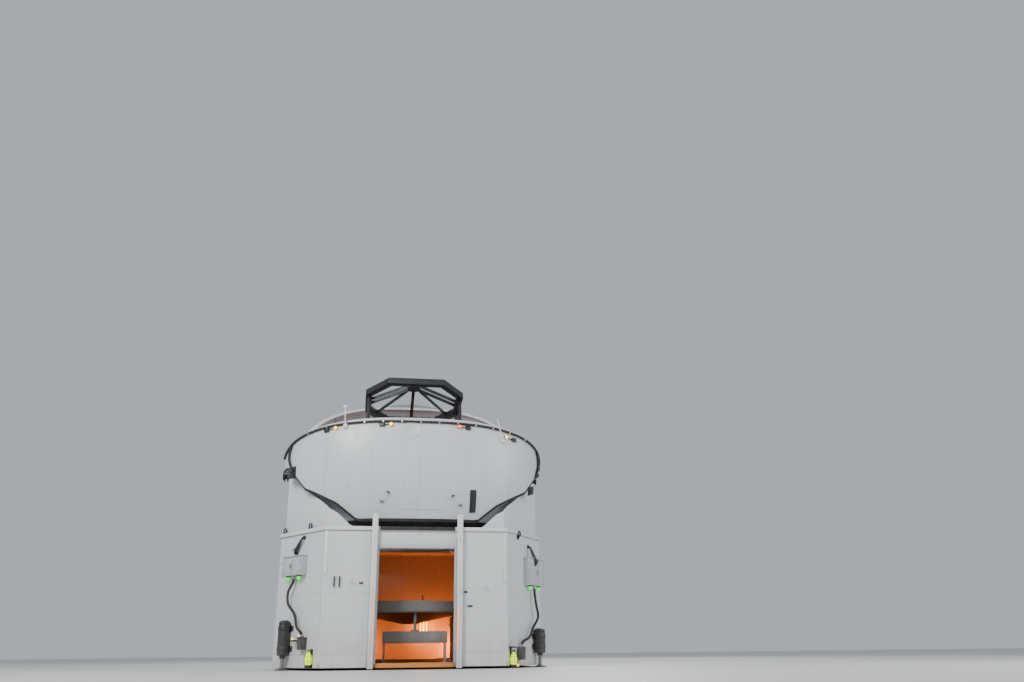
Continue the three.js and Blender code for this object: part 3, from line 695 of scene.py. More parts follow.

# Small things on the front wall: (x, z, size) in metres, the glow strips and the dark strip over the doorway by their
# ends. The glow strips are painted light leaking past the door rails, the glow on the edge strips is a painted glint,
# and the dark strip is painted shade.
frontFittings = {
    "bars": ((-1.47, 1.495, 0.19), (-1.376, 1.495, 0.19)),
    "dashes": ((-0.993, 1.47, 0.07), (0.977, 1.07, 0.09), (0.895, 1.315, 0.06)),
    "plates": ((-1.153, 1.487, 0.075), (1.271, 1.386, 0.075)),
    "edgeStrips": ((-1.632, 1.71, 0.21), (1.622, 1.60, 0.22)),
    "leakGlowStrips": ((-0.76, 0.15, 1.35, 0.005), (0.757, 0.36, 1.05, 0.013)),
    "brush": (0.69, 2.408, 2.473),
    "jambBlocks": ((0.662, 1.0, 0.07), (0.662, 0.30, 0.06), (0.662, 0.17, 0.06)),
}


def makeFrontFittings(f):
    front = -cabin["halfDepth"]
    skin = front - cladding["sheet"] - 0.0002
    bm = bmesh.new()
    for x, z, length in f["bars"]:
        addBox(bm, (x - 0.011, skin - 0.034, z - length / 2), (x + 0.011, skin - 0.024, z + length / 2))
        for dz in (-0.4, 0.4):
            addRod(bm, (x, skin - 0.0242, z + dz * length), (x, skin, z + dz * length), 0.008, 12)
    for x, z, length in f["dashes"]:
        addBox(bm, (x - length / 2, skin - 0.014, z - 0.014), (x + length / 2, skin, z + 0.014))
        addBox(bm, (x - length / 3, skin - 0.022, z - 0.006), (x + length / 3, skin - 0.0138, z + 0.006))
    for x, z, length in f["jambBlocks"]:
        addBox(bm, (x, front + 0.004, z - length / 2), (x + 0.024, front + 0.05, z + length / 2))
    keep("wallGrips", bm, blackSteel, bevel=0.002)
    # Black strip with five pads on the ledge's face above the doorway: painted shade for the dark recess there
    bm = bmesh.new()
    half, low, high = f["brush"]
    addBox(bm, (-half, front - 0.042, low), (half, front - 0.0323, high))
    for k in range(5):
        x = -half + 0.1 + (2 * half - 0.2) * k / 4
        addBox(bm, (x - 0.02, front - 0.046, low + 0.01), (x + 0.02, front - 0.0418, high - 0.01))
    keep("doorShadeStrip", bm, rubberBlack, bevel=0.002)
    bm = bmesh.new()
    for x, z, size in f["plates"]:
        corners = [(x - size, z - size * 0.62), (x + size, z - size * 0.62), (x, z + size * 1.1)]
        near, far = ([bm.verts.new((px, y, pz)) for px, pz in corners] for y in (skin - 0.003, skin))
        bm.faces.new(near)
        bm.faces.new(list(reversed(far)))
        for k in range(3):
            j = (k + 1) % 3
            bm.faces.new((near[j], near[k], far[k], far[j]))
    keep("trianglePlates", bm, plateGrey, bevel=0.001)
    # Edge strips with glowing faces: the glow is a painted glint at the front corners
    bm, glow = bmesh.new(), bmesh.new()
    for x, z, length in f["edgeStrips"]:
        addBox(bm, (x - 0.016, front - 0.022, z - length / 2), (x + 0.016, front - 0.0072, z + length / 2))
        addBox(glow, (x - 0.010, front - 0.028, z - length * 0.44), (x + 0.010, front - 0.0221, z + length * 0.44))
    keep("edgeStrips", bm, boxGrey, bevel=0.003)
    keep("edgeGlints", glow, paintedGlintGlow, bevel=0.001)
    # Glowing strips on the rails' faces: painted light leaking past the door rails, not lamps
    face = doorway["railFace"] - doorway["railDepth"] - 0.0003
    bm, glow = bmesh.new(), bmesh.new()
    for x, low, high, half in f["leakGlowStrips"]:
        addBox(bm, (x - half - 0.005, face - 0.004, low - 0.01), (x + half + 0.005, face, high + 0.01))
        addBox(glow, (x - half, face - 0.008, low), (x + half, face - 0.0041, high))
    keep("stripHolders", bm, boxGrey, bevel=0.001)
    keep("leakGlowStrips", glow, paintedLeakGlow, bevel=0.001)


makeFrontFittings(frontFittings)
print("doorway done")

# Clamshell profile, shared by every shell: squarish from pole to pole, round about the cross axis
clamshell = {
    "pivotZ": 3.80,
    "halfWidth": 2.64,
    "radius": 2.45,
    "thick": 0.04,
    "step": 0.11,
    "power": 2.75,
    "hub": 0.23,
    "span": 46.0,
    "outerSwing": 29.0,
    "lap": 2.0,
    "edgeCorners": ((0, 2.612), (1.13, 2.612), (1.5, 2.9), (2.12, 3.22), (2.5, 3.72)),
}


def shellSize(step):
    return clamshell["halfWidth"] - step, clamshell["radius"] - step


def shellRadiusAt(x, across=clamshell["halfWidth"], radius=clamshell["radius"]):
    return radius * max(0.0, 1 - abs(x / across) ** clamshell["power"]) ** (1 / clamshell["power"])


# Lower edge of the front outer petal, in degrees about the cross axis
def edgeAngle(x):
    corners = clamshell["edgeCorners"]
    x = min(abs(x), corners[-1][0])
    for (x0, z0), (x1, z1) in zip(corners, corners[1:]):
        if x <= x1:
            break
    height = z0 + (z1 - z0) * (x - x0) / (x1 - x0)
    return math.degrees(math.asin((height - clamshell["pivotZ"]) / shellRadiusAt(x)))


# Place along the profile, from 0 at the right pole to pi at the left one, where the shell is this far out
def placeAtRadius(r, radius):
    return math.asin((r / radius) ** (clamshell["power"] / 2))


def placeAtX(x, across):
    return math.acos(math.copysign((abs(x) / across) ** (clamshell["power"] / 2), x))


def placesBetween(x0, x1, across):
    return placeAtX(x1, across), placeAtX(x0, across)


def raised(line, amount):
    return lambda x: line(x) + amount


def shellPoint(across, radius, place, angle, facing, height=0.0):
    c, s = math.cos(place), math.sin(place)
    x = (across + height) * math.copysign(abs(c) ** (2 / clamshell["power"]), c)
    r = (radius + height) * s ** (2 / clamshell["power"])
    turn = math.radians(angle(x) if callable(angle) else angle)
    return Vector((x, facing * r * math.cos(turn), clamshell["pivotZ"] + r * math.sin(turn)))


def shellNormal(across, radius, place, angle, facing):
    here = shellPoint(across, radius, place, angle, facing)
    return (shellPoint(across, radius, place, angle, facing, 0.01) - here).normalized()


# Closed piece of a shell between two heights over its outer face, two places and two angles
def addPatch(bm, step, heights, places, angles, facing, along, around):
    across, radius = shellSize(step)
    low, high = (a if callable(a) else (lambda x, a=a: a) for a in angles)
    inner, outer = [], []
    for height, grid in zip(heights, (inner, outer)):
        for i in range(along + 1):
            place = places[0] + (places[1] - places[0]) * i / along
            lines = [lambda x, b=j / around: low(x) + (high(x) - low(x)) * b for j in range(around + 1)]
            grid.append([bm.verts.new(shellPoint(across, radius, place, line, facing, height)) for line in lines])
    faces = []
    for i in range(along):
        for j in range(around):
            faces.append((outer[i][j], outer[i][j + 1], outer[i + 1][j + 1], outer[i + 1][j]))
            faces.append((inner[i][j], inner[i + 1][j], inner[i + 1][j + 1], inner[i][j + 1]))
    for i in range(along):
        faces.append((outer[i][0], outer[i + 1][0], inner[i + 1][0], inner[i][0]))
        faces.append((outer[i][around], inner[i][around], inner[i + 1][around], outer[i + 1][around]))
    for j in range(around):
        faces.append((outer[0][j], inner[0][j], inner[0][j + 1], outer[0][j + 1]))
        faces.append((outer[along][j], outer[along][j + 1], inner[along][j + 1], inner[along][j]))
    for face in faces:
        bm.faces.new(face if facing > 0 else tuple(reversed(face)))


pivot = {"eyeRadius": 0.13, "shaft": 0.075, "plateReach": 0.29, "eyeThick": 0.018, "sides": 72}


# Bored plate: a disc round the shaft and an arm out to the shell
def addEye(bm, side, x0, low, high, facing):
    start, end = math.radians(low + 5), math.radians(high - 5)
    rim, bore = [], []
    for turn in circle(pivot["sides"]):
        inArm = start <= (turn + math.pi) % (2 * math.pi) - math.pi <= end
        rim.append((pivot["plateReach"] if inArm else pivot["eyeRadius"], turn))
        bore.append((pivot["shaft"] + 0.001, turn))
    nearRim, nearBore, farRim, farBore = [
        [bm.verts.new((x, facing * r * math.cos(t), clamshell["pivotZ"] + r * math.sin(t))) for r, t in ring]
        for x in (side * x0, side * (x0 + pivot["eyeThick"])) for ring in (rim, bore)]
    for k in range(pivot["sides"]):
        j = (k + 1) % pivot["sides"]
        for face in ((nearRim[k], nearRim[j], nearBore[j], nearBore[k]),
                     (farRim[k], farBore[k], farBore[j], farRim[j]),
                     (nearRim[k], farRim[k], farRim[j], nearRim[j]),
                     (nearBore[k], nearBore[j], farBore[j], farBore[k])):
            bm.faces.new(face if side * facing > 0 else face[::-1])


petals = {
    "front_outer": {"step": 0.0, "lift": 0.0, "facing": -1},
    "front_inner": {"step": 0.11, "lift": 2.0, "facing": -1},
    "rear_outer": {"step": 0.0, "lift": 29.0, "facing": 1},
    "rear_inner": {"step": 0.11, "lift": 38.0, "facing": 1},
}
petalTrim = {
    "lip": 0.004,
    "lipAngle": 1.3,
    "flange": 0.03,
    "ribs": (-1.75, -0.9, 0.0, 0.9, 1.75),
    "hoops": (0.35, 0.68),
    "ribHalf": 0.016,
    "seamHalf": 0.024,
    "seamRise": 0.0025,
    "sealAndShadeWidth": 0.9,
}


def petalAngles(p):
    return raised(edgeAngle, p["lift"]), clamshell["span"] - clamshell["outerSwing"] + p["lift"]


def makePetal(name, p, t):
    step, facing = p["step"], p["facing"]
    across, radius = shellSize(step)
    thick = clamshell["thick"]
    low, high = petalAngles(p)
    lip = high - t["lipAngle"]
    first = placeAtRadius(clamshell["hub"], radius)
    behind = (-thick - t["flange"], -thick - 0.0002)
    plain = plainName(name)

    def addBand(bm, heights, inset, angles, around, along=96):
        addPatch(bm, step, heights, (first + inset, math.pi - first - inset), angles, facing, along, around)

    def rivetAt(place, angle, height):
        here = shellPoint(across, radius, place, angle, facing, height)
        return here, shellNormal(across, radius, place, angle, facing)

    bm = bmesh.new()
    addBand(bm, (-thick, 0), 0, (low, high), 22)
    # Rim: a lip over the outer face and a flange turned in behind it
    addBand(bm, (0.0002, t["lip"]), 0.03, (lip, high), 2)
    addBand(bm, behind, 0.1, (high - 0.5, high), 1)
    keep(plain + "Shell", bm, domeWhite, name, (name + "_petal_left", name + "_petal_right"), sharp=40)
    bm, rivets = bmesh.new(), []
    for x in t["ribs"]:
        places = placesBetween(x - t["seamHalf"], x + t["seamHalf"], across)
        addPatch(bm, step, (0.0001, t["seamRise"]), places, (raised(low, 0.5), lip), facing, 2, 22)
        for edge in (-0.6, 0.6):
            place = placeAtX(x + edge * t["seamHalf"], across)
            rivets += [rivetAt(place, low(x) + 1.2 + (lip - low(x) - 2) * k / 24, t["seamRise"]) for k in range(25)]
    keep(plain + "Seams", bm, domeWhite, name, sharp=40)
    # Ribs and hoops on the inner face
    bm = bmesh.new()
    for x in t["ribs"]:
        places = placesBetween(x - t["ribHalf"], x + t["ribHalf"], across)
        addPatch(bm, step, behind, places, (raised(low, 0.6), high - 0.5), facing, 1, 22)
    for share in t["hoops"]:
        middle = lambda x, b=share: low(x) + (high - low(x)) * b
        addBand(bm, (-thick - t["flange"] * 0.8, -thick - 0.0003), 0.25,
                (raised(middle, -0.35), raised(middle, 0.35)), 1, 80)
    keep(plain + "Ribs", bm, domeLining, name, sharp=40)
    # Rubber seal along the lower edge; its band over the outer face is widened into painted shade, the shadow gap under
    # the edge
    bm = bmesh.new()
    addBand(bm, (-thick * 0.85, -thick * 0.15), 0.05, (raised(low, -0.4), raised(low, -0.004)), 1)
    addBand(bm, (0.0002, 0.008), 0.12, (raised(low, -0.38), raised(low, t["sealAndShadeWidth"])), 1)
    keep(plain + "Seal", bm, rubberBlack, name, sharp=40)
    start = first + 0.22
    rivets += [rivetAt(start + (math.pi - 2 * start) * k / 30, high - t["lipAngle"] / 2, t["lip"]) for k in range(31)]
    fasteners(plain + "Rivets", rivets, 0.007, 0.004, steel, name, rivetTree)
    # Eye plates on the pivot shaft
    bm = bmesh.new()
    skin = 0 if facing < 0 else thick
    face = shellPoint(across - skin, radius - skin, placeAtRadius(clamshell["hub"], radius - skin), 0, facing).x
    x0 = face if facing < 0 else face - pivot["eyeThick"]
    for side in (-1, 1):
        addEye(bm, side, x0, low(2.6), high, facing)
    keep(plain + "Eyes", bm, blackSteel, name, bevel=0.002)


for petalName, petalSpec in petals.items():
    makePetal(petalName, petalSpec, petalTrim)
print("petals done")


# Frame on the front outer petal's face: x across, -y straight out, z up along the face
def petalFrame(x, angle):
    across, radius = shellSize(0)
    place = placeAtX(x, across)
    here = shellPoint(across, radius, place, angle, -1)
    out = shellNormal(across, radius, place, angle, -1)
    a = math.radians(angle)
    up = Vector((0, math.sin(a), math.cos(a)))
    return Matrix.Translation(here) @ Matrix(((-out).cross(up), -out, up)).transposed().to_4x4()


# Fittings on the front outer petal: (x, angle) places on its face
rimFittings = {
    "rimShadeAngle": 15.2,
    "rimShadeRadius": 0.023,
    "loop": ((2.625, -0.55, 4.21), (2.672, -0.50, 4.07), (2.668, -0.48, 3.93), (2.62, -0.52, 3.86)),
    "tail": ((2.43, 14.0), (2.462, 9.0), (2.462, 3.1), (2.42, -3.0), (2.37, -8.0)),
    "lamps": ((-1.584, 14.4, -1, 0), (-0.557, 14.9, -1, 0), (0.735, 14.3, 1, 1), (1.68, 12.6, 1, 0)),
    "lampGlass": ((0.0222, 0.031), (0.04, 0.030), (0.052, 0.024), (0.060, 0.014), (0.063, 0.005)),
    "grips": (((-0.574, -16.7), (-0.677, -20.7)), ((0.64, -17.9), (0.782, -21.9))),
    "catch": (0.815, -27.4),
    "bar": (0.965, 1.085, -25.6, -15.2),
    "line": (-0.25, 0.41, -23.4),
    "disc": (-0.167, 11.2, 0.17),
    "gussets": ((-2.49, -2.32, -12.6, -3.9), (2.19, 2.34, -20.3, -14.5)),
}


def makeRimFittings(f):
    across, radius = shellSize(0)

    def onFace(x, angle, height):
        return shellPoint(across, radius, placeAtX(x, across), angle, -1, height)

    def addPlate(heights, x0, x1, low, high, along, around):
        addPatch(bm, 0, heights, placesBetween(x0, x1, across), (low, high), -1, along, around)

    # Black tube along the rim, painted shade for the shadow line in the gap between the shells, with its loop round the
    # right pivot and its tails down the sides
    bm = bmesh.new()
    start, end = placesBetween(-2.6, 2.6, across)
    height = f["rimShadeRadius"] + 0.0005
    line = [shellPoint(across, radius, start + (end - start) * k / 120, f["rimShadeAngle"], -1, height) for k in range(121)]
    addTube(bm, line, f["rimShadeRadius"], 10)
    loop = [onFace(2.5, 13.0, 0.012), onFace(2.56, 16.0, 0.02), *map(Vector, f["loop"]), onFace(2.57, 3.0, 0.012)]
    addTube(bm, centripetal(loop, 48), 0.015, 8)
    for side in (-1, 1):
        addTube(bm, centripetal([onFace(side * x, angle, 0.026) for x, angle in f["tail"]], 40), 0.025, 10)
    keep("rimShadeTube", bm, rubberBlack, "front_outer", sharp=60)
    bm = bmesh.new()
    high = 2 * f["rimShadeRadius"]
    for k in range(13):
        turn = petalFrame(-2.1 + 0.35 * k, f["rimShadeAngle"])
        addBox(bm, (-0.014, -high - 0.003, -high * 0.56), (0.014, -0.0003, high * 0.56), turn)
    keep("rimTubeClips", bm, steel, "front_outer", bevel=0.001)
    # Rim lamps, with dark boxes beside them as painted shade where the rim's shadow line widens
    bm = bmesh.new()
    glass = bmesh.new(), bmesh.new()
    for x, angle, side, tone in f["lamps"]:
        turn = petalFrame(x, min(angle - 0.7, 13.75))
        addRod(bm, (0, -0.0003, 0), (0, -0.022, 0), 0.036, 24, turn=turn)
        box = petalFrame(x + side * 0.17, min(angle - 0.9, 13.6))
        addBox(bm, (-0.05, -0.045, -0.035), (0.05, -0.0003, 0.035), box)
        lead = Vector((0, -0.014, 0))
        middle = (turn @ lead + box @ lead) / 2
        addTube(bm, [turn @ Vector((0, -0.012, 0)), middle, box @ Vector((0, -0.02, 0))], 0.008, 8)
        addTurned(glass[tone], turn, (0, 0, 0), outward, f["lampGlass"], 20)
    addBox(bm, (-0.03, -0.02, -0.012), (0.03, -0.0003, 0.012), petalFrame(*f["catch"]))
    keep("rimLampBoxes", bm, blackSteel, "front_outer", bevel=0.002)
    keep("rimLamps", glass[0], warmLens, "front_outer", sharp=50)
    keep("rimLampRed", glass[1], redLens, "front_outer", sharp=50)
    # Slim posts: one upright with a ball, one leaning
    bm = bmesh.new()
    foot = onFace(-1.401, 14.1, 0.045)
    addRod(bm, foot, foot + Vector((-0.012, 0.0, 0.33)), 0.011, 12)
    ball = Matrix.Translation(foot + Vector((-0.012, 0.0, 0.36)))
    bmesh.ops.create_uvsphere(bm, u_segments=16, v_segments=8, radius=0.04, matrix=ball)
    addRod(bm, onFace(1.603, 9.4, 0.035), (1.486, -2.3, 4.572), 0.013, 12, 0.009)
    for x, angle in ((-1.401, 14.1), (1.603, 9.8)):
        addBox(bm, (-0.035, -0.058, -0.05), (0.035, -0.0003, 0.03), petalFrame(x, angle))
    keep("rimPosts", bm, railWhite, "front_outer", bevel=0.002)
    # Grips, slotted bar, gussets, raised line and hatch disc on the face
    bm = bmesh.new()
    for pair in f["grips"]:
        for x, angle in pair:
            addBox(bm, (-0.026, -0.030, -0.020), (0.026, -0.0003, 0.020), petalFrame(x, angle))
    x0, x1, low, high = f["bar"]
    addPlate((0.0002, 0.010), x0, x1, low, high, 3, 12)
    addPlate((0.0101, 0.022), x0 + 0.035, x1 - 0.035, low + 0.6, high - 0.6, 2, 12)
    for x0, x1, low, high in f["gussets"]:
        addPlate((0.0002, 0.014), x0, x1, low, high, 4, 6)
        addPlate((0.0141, 0.026), x0 + 0.03, x1 - 0.03, low + 1.5, high - 1.5, 3, 4)
    keep("petalGrips", bm, blackSteel, "front_outer", bevel=0.002)
    bm = bmesh.new()
    for (xa, a), (xb, b) in f["grips"]:
        addTube(bm, [onFace(xa, a, 0.024), onFace((xa + xb) / 2, (a + b) / 2, 0.04), onFace(xb, b, 0.024)], 0.009, 10)
    x0, x1, angle = f["line"]
    addPlate((0.0002, 0.012), x0, x1, angle - 0.16, angle + 0.16, 12, 1)
    keep("petalRails", bm, railWhite, "front_outer", sharp=50)
    bm = bmesh.new()
    x, angle, size = f["disc"]
    rings = []
    for share, height in ((1, 0.0002), (1, 0.006), (0.93, 0.008), (0.9, 0.004)):
        places = [(size * share * math.cos(t), math.degrees(size * share * math.sin(t) / radius)) for t in circle(40)]
        rings.append([bm.verts.new(onFace(x + dx, angle + turn, height)) for dx, turn in places])
    joinRings(bm, rings)
    bm.faces.new(list(reversed(rings[0])))
    bm.faces.new(rings[-1])
    keep("hatchDisc", bm, domeWhite, "front_outer", sharp=40)


# Weather flap over the rim of the rear inner petal
crestFlap = {"half": 0.65, "height": (0.012, 0.020), "lap": 2.6, "rise": 2.2}


def makeCrestFlap(c):
    petal = petals["rear_inner"]
    high = petalAngles(petal)[1]
    foot = high - c["lap"]
    places = placesBetween(-c["half"], c["half"], shellSize(petal["step"])[0])
    top = lambda x: high + c["rise"] * max(0.05, 1 - (x / c["half"]) ** 2)
    bm = bmesh.new()
    addPatch(bm, petal["step"], c["height"], places, (foot, top), 1, 24, 6)
    addPatch(bm, petal["step"], (0.0045, c["height"][0] + 0.001), places, (foot, foot + 1.0), 1, 24, 1)
    keep("crestFlap", bm, domeWhite, "rear_inner", sharp=40)


makeRimFittings(rimFittings)
makeCrestFlap(crestFlap)
print("petal fittings done")

fixedShells = {"thick": 0.05, "base": 2.4703, "ribHalf": 0.018, "shadeBandHalf": 1.6, "shadeBandAngle": 6.0}


# Fixed shell: two halves on the ledge, cut off level at the base
def makeFixedShells(f):
    step = clamshell["step"] * 2
    across, radius = shellSize(step)
    first = placeAtRadius(clamshell["hub"], radius)
    band = (first + 0.05, math.pi - first - 0.05)
    high = raised(edgeAngle, clamshell["outerSwing"] + clamshell["lap"])
    drop = clamshell["pivotZ"] - f["base"]

    def low(x):
        return -math.degrees(math.asin(min(1, drop / max(shellRadiusAt(x, across, radius), 1e-6))))

    for name, facing in (("Front", -1), ("Rear", 1)):
        bm = bmesh.new()
        addPatch(bm, step, (-f["thick"], 0), (first, math.pi - first), (low, high), facing, 96, 26)
        # Edge band that the petals lap over
        addPatch(bm, step, (0.0002, 0.012), band, (raised(high, -1.0), high), facing, 96, 1)
        keep(name + "FixedShell", bm, domeWhite, replaced=("fixed_shell_" + name.lower(),), sharp=40)
        # Black band along the shell's foot: painted shade, the shadow under the petals' lower edge
        bm = bmesh.new()
        shadeBand = placesBetween(-f["shadeBandHalf"], f["shadeBandHalf"], across)
        addPatch(bm, step, (0.0002, 0.006), shadeBand, (raised(low, 0.1), raised(low, f["shadeBandAngle"])), facing, 48, 6)
        keep(name + "ShellShadeBand", bm, rubberBlack, sharp=40)
        bm = bmesh.new()
        for x in petalTrim["ribs"]:
            places = placesBetween(x - f["ribHalf"], x + f["ribHalf"], across)
            addPatch(bm, step, (-f["thick"] - 0.04, -f["thick"] - 0.0003), places,
                     (raised(low, 0.3), raised(high, -0.4)), facing, 1, 26)
        keep(name + "FixedRibs", bm, domeLining, sharp=40)


makeFixedShells(fixedShells)
print("fixed shells done")

skirt = {"inset": 0.06, "thick": 0.05, "top": 3.56, "opening": 1.20, "clear": 2.0, "base": 2.4703}


# Upright skirt panels on the ledge, cut off along the petals' lower edge
def makeSkirts(s):
    outerPlan, innerPlan = cabinPlan(s["inset"]), cabinPlan(s["inset"] + s["thick"])
    far = cabin["halfDepth"] - s["inset"]
    for name, side, corners in (("left", -1, (0, 7, 6, 5)), ("right", 1, (1, 2, 3, 4))):
        end = side * s["opening"]
        line = [(Vector((end, -far)), Vector((end, -far + s["thick"])))]
        line += [(Vector(outerPlan[i]), Vector(innerPlan[i])) for i in corners]
        line.append((Vector((end, far)), Vector((end, far - s["thick"]))))
        path = []
        for (a, b), (c, d) in zip(line, line[1:]):
            count = max(2, round((c - a).length / 0.05))
            path += [(a.lerp(c, k / count), b.lerp(d, k / count)) for k in range(count)]
        path.append(line[-1])
        bm = bmesh.new()
        columns = []
        for outer, inner in path:
            slope = math.radians(edgeAngle(outer.x) - s["clear"])
            top = min(s["top"], clamshell["pivotZ"] + abs(outer.y) * math.tan(slope))
            top = max(top, s["base"] + 0.02)
            columns.append([bm.verts.new((p.x, p.y, z)) for p, z in
                            ((outer, s["base"]), (outer, top), (inner, top), (inner, s["base"]))])
        joinRings(bm, columns)
        bm.faces.new(columns[0])
        bm.faces.new(columns[-1])
        keep(name.title() + "Skirt", bm, skirtWhite, replaced=(name + "_skirt",), bevel=0.004, clean=True)


makeSkirts(skirt)
print("skirts done")


# Frame on a corner face: x along the wall, -y straight out, as the fittings there are placed
def cornerFrame(side, facing):
    c = cabin
    turn = math.atan2(c["halfDepth"] - c["sideHalf"], c["halfWidth"] - c["frontHalf"])
    angle = side * turn if facing < 0 else math.pi - side * turn
    middle = (side * (c["frontHalf"] + c["halfWidth"]) / 2, facing * (c["halfDepth"] + c["sideHalf"]) / 2, 0)
    return Matrix.Translation(middle) @ Matrix.Rotation(angle, 4, "Z")


jack = {
    "places": (("front_left", -1, -1, 0.26, 0.85), ("front_right", 1, -1, 0.48, 0.69),
               ("rear_left", -1, 1, 0.48, 0.85), ("rear_right", 1, 1, 0.48, 0.85)),
    "out": 0.112,
    "radius": 0.105,
    "groove": 0.006,
    "bottom": 0.25,
    "screw": 0.038,
    "turns": 36,
    "foot": 0.122,
}


def makeJacks(j):
    r, low = j["radius"], j["bottom"]
    dip = r - j["groove"]
    for name, side, facing, reach, top in j["places"]:
        turn = cornerFrame(side, facing)
        x, y = -side * facing * reach, -j["out"]
        plain, straps = plainName(name), (low + 0.12, top - 0.13)
        bm = bmesh.new()
        profile = ((low, 0.085), (low + 0.012, r), (low + 0.08, r), (low + 0.081, dip), (low + 0.1, dip),
                   (low + 0.101, r), (top - 0.07, r), (top - 0.069, dip), (top - 0.05, dip), (top - 0.049, r),
                   (top - 0.02, r - 0.004), (top - 0.004, r - 0.02), (top + 0.014, r - 0.055))
        addTurned(bm, turn, (x, y, 0), (0, 0, 1), profile, 40)
        addUpright(bm, x, y, low - 0.045, low - 0.0004, 0.056, 28, turn=turn)
        addUpright(bm, x, y, 0.0, 0.018, j["foot"], 36, turn=turn)
        addUpright(bm, x, y, 0.0182, 0.04, j["foot"] * 0.8, 36, 0.048, turn)
        for z in straps:
            addBox(bm, (x - 0.15, -0.014, z - 0.05), (x + 0.15, -0.0003, z + 0.05), turn)
            addBox(bm, (x - 0.055, y + 0.06, z - 0.035), (x + 0.055, -0.0135, z + 0.035), turn)
            addUpright(bm, x, y, z - 0.035, z + 0.035, r + 0.007, 40, turn=turn)
        keep(plain + "Jack", bm, jackBlack, replaced=(name + "_jack",), bevel=0.003)
        bm = bmesh.new()
        thread = [(0.04 + 0.165 * k / j["turns"], j["screw"] - 0.004 * (k % 2)) for k in range(j["turns"] + 1)]
        addTurned(bm, turn, (x, y, 0), (0, 0, 1), thread, 20)
        keep(plain + "JackScrew", bm, steel, sharp=60)
        out = turn.to_3x3() @ Vector(outward)
        places = [(turn @ Vector((x + dx, -0.018, z + dz)), out)
                  for z in straps for dx in (-0.13, 0.13) for dz in (-0.03, 0.03)]
        fasteners(plain + "JackBolts", places, 0.011, 0.009, steel)


makeJacks(jack)
print("jacks done")

# Fittings on the two front corner faces: places run outward from the middle of the face
corner = {
    "boxHalf": 0.33,
    "boxDepth": 0.15,
    "boxHigh": 1.99,
    "markerGlass": ((0.0202, 0.038), (0.05, 0.037), (0.066, 0.031), (0.076, 0.02), (0.081, 0.008)),
    "lowHalf": 0.08,
    "lowDepth": 0.12,
    "hoseRadius": 0.025,
    "left": {"side": -1, "box": 0.11, "boxLow": 1.646, "lowBox": -0.30, "lowBottom": 0.35, "lowTop": 0.56,
             "lamp": -0.56, "lampLow": 0.05, "hood": False,
             "bends": ((0.215, 0.11, 1.364), (0.18, 0.12, 1.163), (-0.06, 0.11, 0.963), (-0.17, 0.10, 0.72))},
    "right": {"side": 1, "box": 0.33, "boxLow": 1.483, "lowBox": -0.30, "lowBottom": 0.14, "lowTop": 0.36,
              "lamp": -0.67, "lampLow": 0.015, "hood": True,
              "bends": ((0.335, 0.11, 1.13), (0.395, 0.12, 0.915), (0.16, 0.11, 0.71), (0.0, 0.10, 0.54))},
}


def makeHose(name, turn, c, place):
    side = place["side"]
    start, end = (place["box"], 0.08), (place["lowBox"] + 0.05, 0.065)
    route = [(*start, place["boxLow"] - 0.0003), (*start, place["boxLow"] - 0.105), *place["bends"],
             (*end, place["lowTop"] + 0.08), (*end, place["lowTop"] + 0.0003)]
    line = centripetal([Vector((side * reach, -out, z)) for reach, out, z in route], 168)
    line = [turn @ p for p in line]
    bm = bmesh.new()
    addTube(bm, line, [c["hoseRadius"] - 0.003 * (k % 2) for k in range(len(line))], 14)
    hose = keep(name + "Hose", bm, rubberBlack, replaced=(name + "_hose",), sharp=60)


def makeServiceBox(name, turn, c, place):
    x = place["side"] * place["box"]
    half, deep = c["boxHalf"], c["boxDepth"]
    low, high = place["boxLow"], c["boxHigh"]
    bm = bmesh.new()
    addBox(bm, (x - half, -deep + 0.012, low), (x + half, -0.0003, high), turn)
    for k in (-1, 1):
        a, b = sorted((x + k * 0.004, x + k * (half - 0.008)))
        addBox(bm, (a, -deep, low + 0.008), (b, -deep + 0.0119, high - 0.02), turn)
        addBox(bm, (a + 0.03, -deep - 0.003, low + 0.035), (b - 0.03, -deep + 0.0001, high - 0.05), turn)
    addBox(bm, (x - half - 0.01, -deep - 0.008, high - 0.0005), (x + half + 0.01, -0.0003, high + 0.012), turn)
    keep(name + "ServiceBox", bm, boxGrey, replaced=(name + "_service_box",), bevel=0.0025)
    bm = bmesh.new()
    middle = (low + high) / 2
    for k in (-1, 1):
        edge, grip = x + k * (half - 0.014), x + k * 0.02
        for z in (low + 0.07, high - 0.09):
            addUpright(bm, edge, -deep - 0.004, z - 0.03, z + 0.03, 0.007, 12, turn=turn)
        addBox(bm, (grip - 0.011, -deep - 0.012, middle - 0.035), (grip + 0.011, -deep + 0.001, middle + 0.035), turn)
        addRod(bm, (grip, -deep - 0.02, middle), (grip, -deep - 0.011, middle), 0.008, 12, turn=turn)
    addUpright(bm, x, -0.08, low - 0.055, low - 0.0005, 0.036, 8, turn=turn)
    keep(name + "BoxHardware", bm, steel, bevel=0.001)
    # Marker lamps under the box, one each side of the hose
    bm, glass = bmesh.new(), bmesh.new()
    for dx in (-0.19, 0.19):
        addUpright(bm, x + dx, -0.08, low - 0.02, low - 0.0004, 0.046, 28, turn=turn)
        addTurned(glass, turn, (x + dx, -0.08, low), (0, 0, -1), c["markerGlass"], 24)
    keep(name + "MarkerCollars", bm, blackSteel, bevel=0.002)
    keep(name + "MarkerLamps", glass, greenLens, sharp=50)


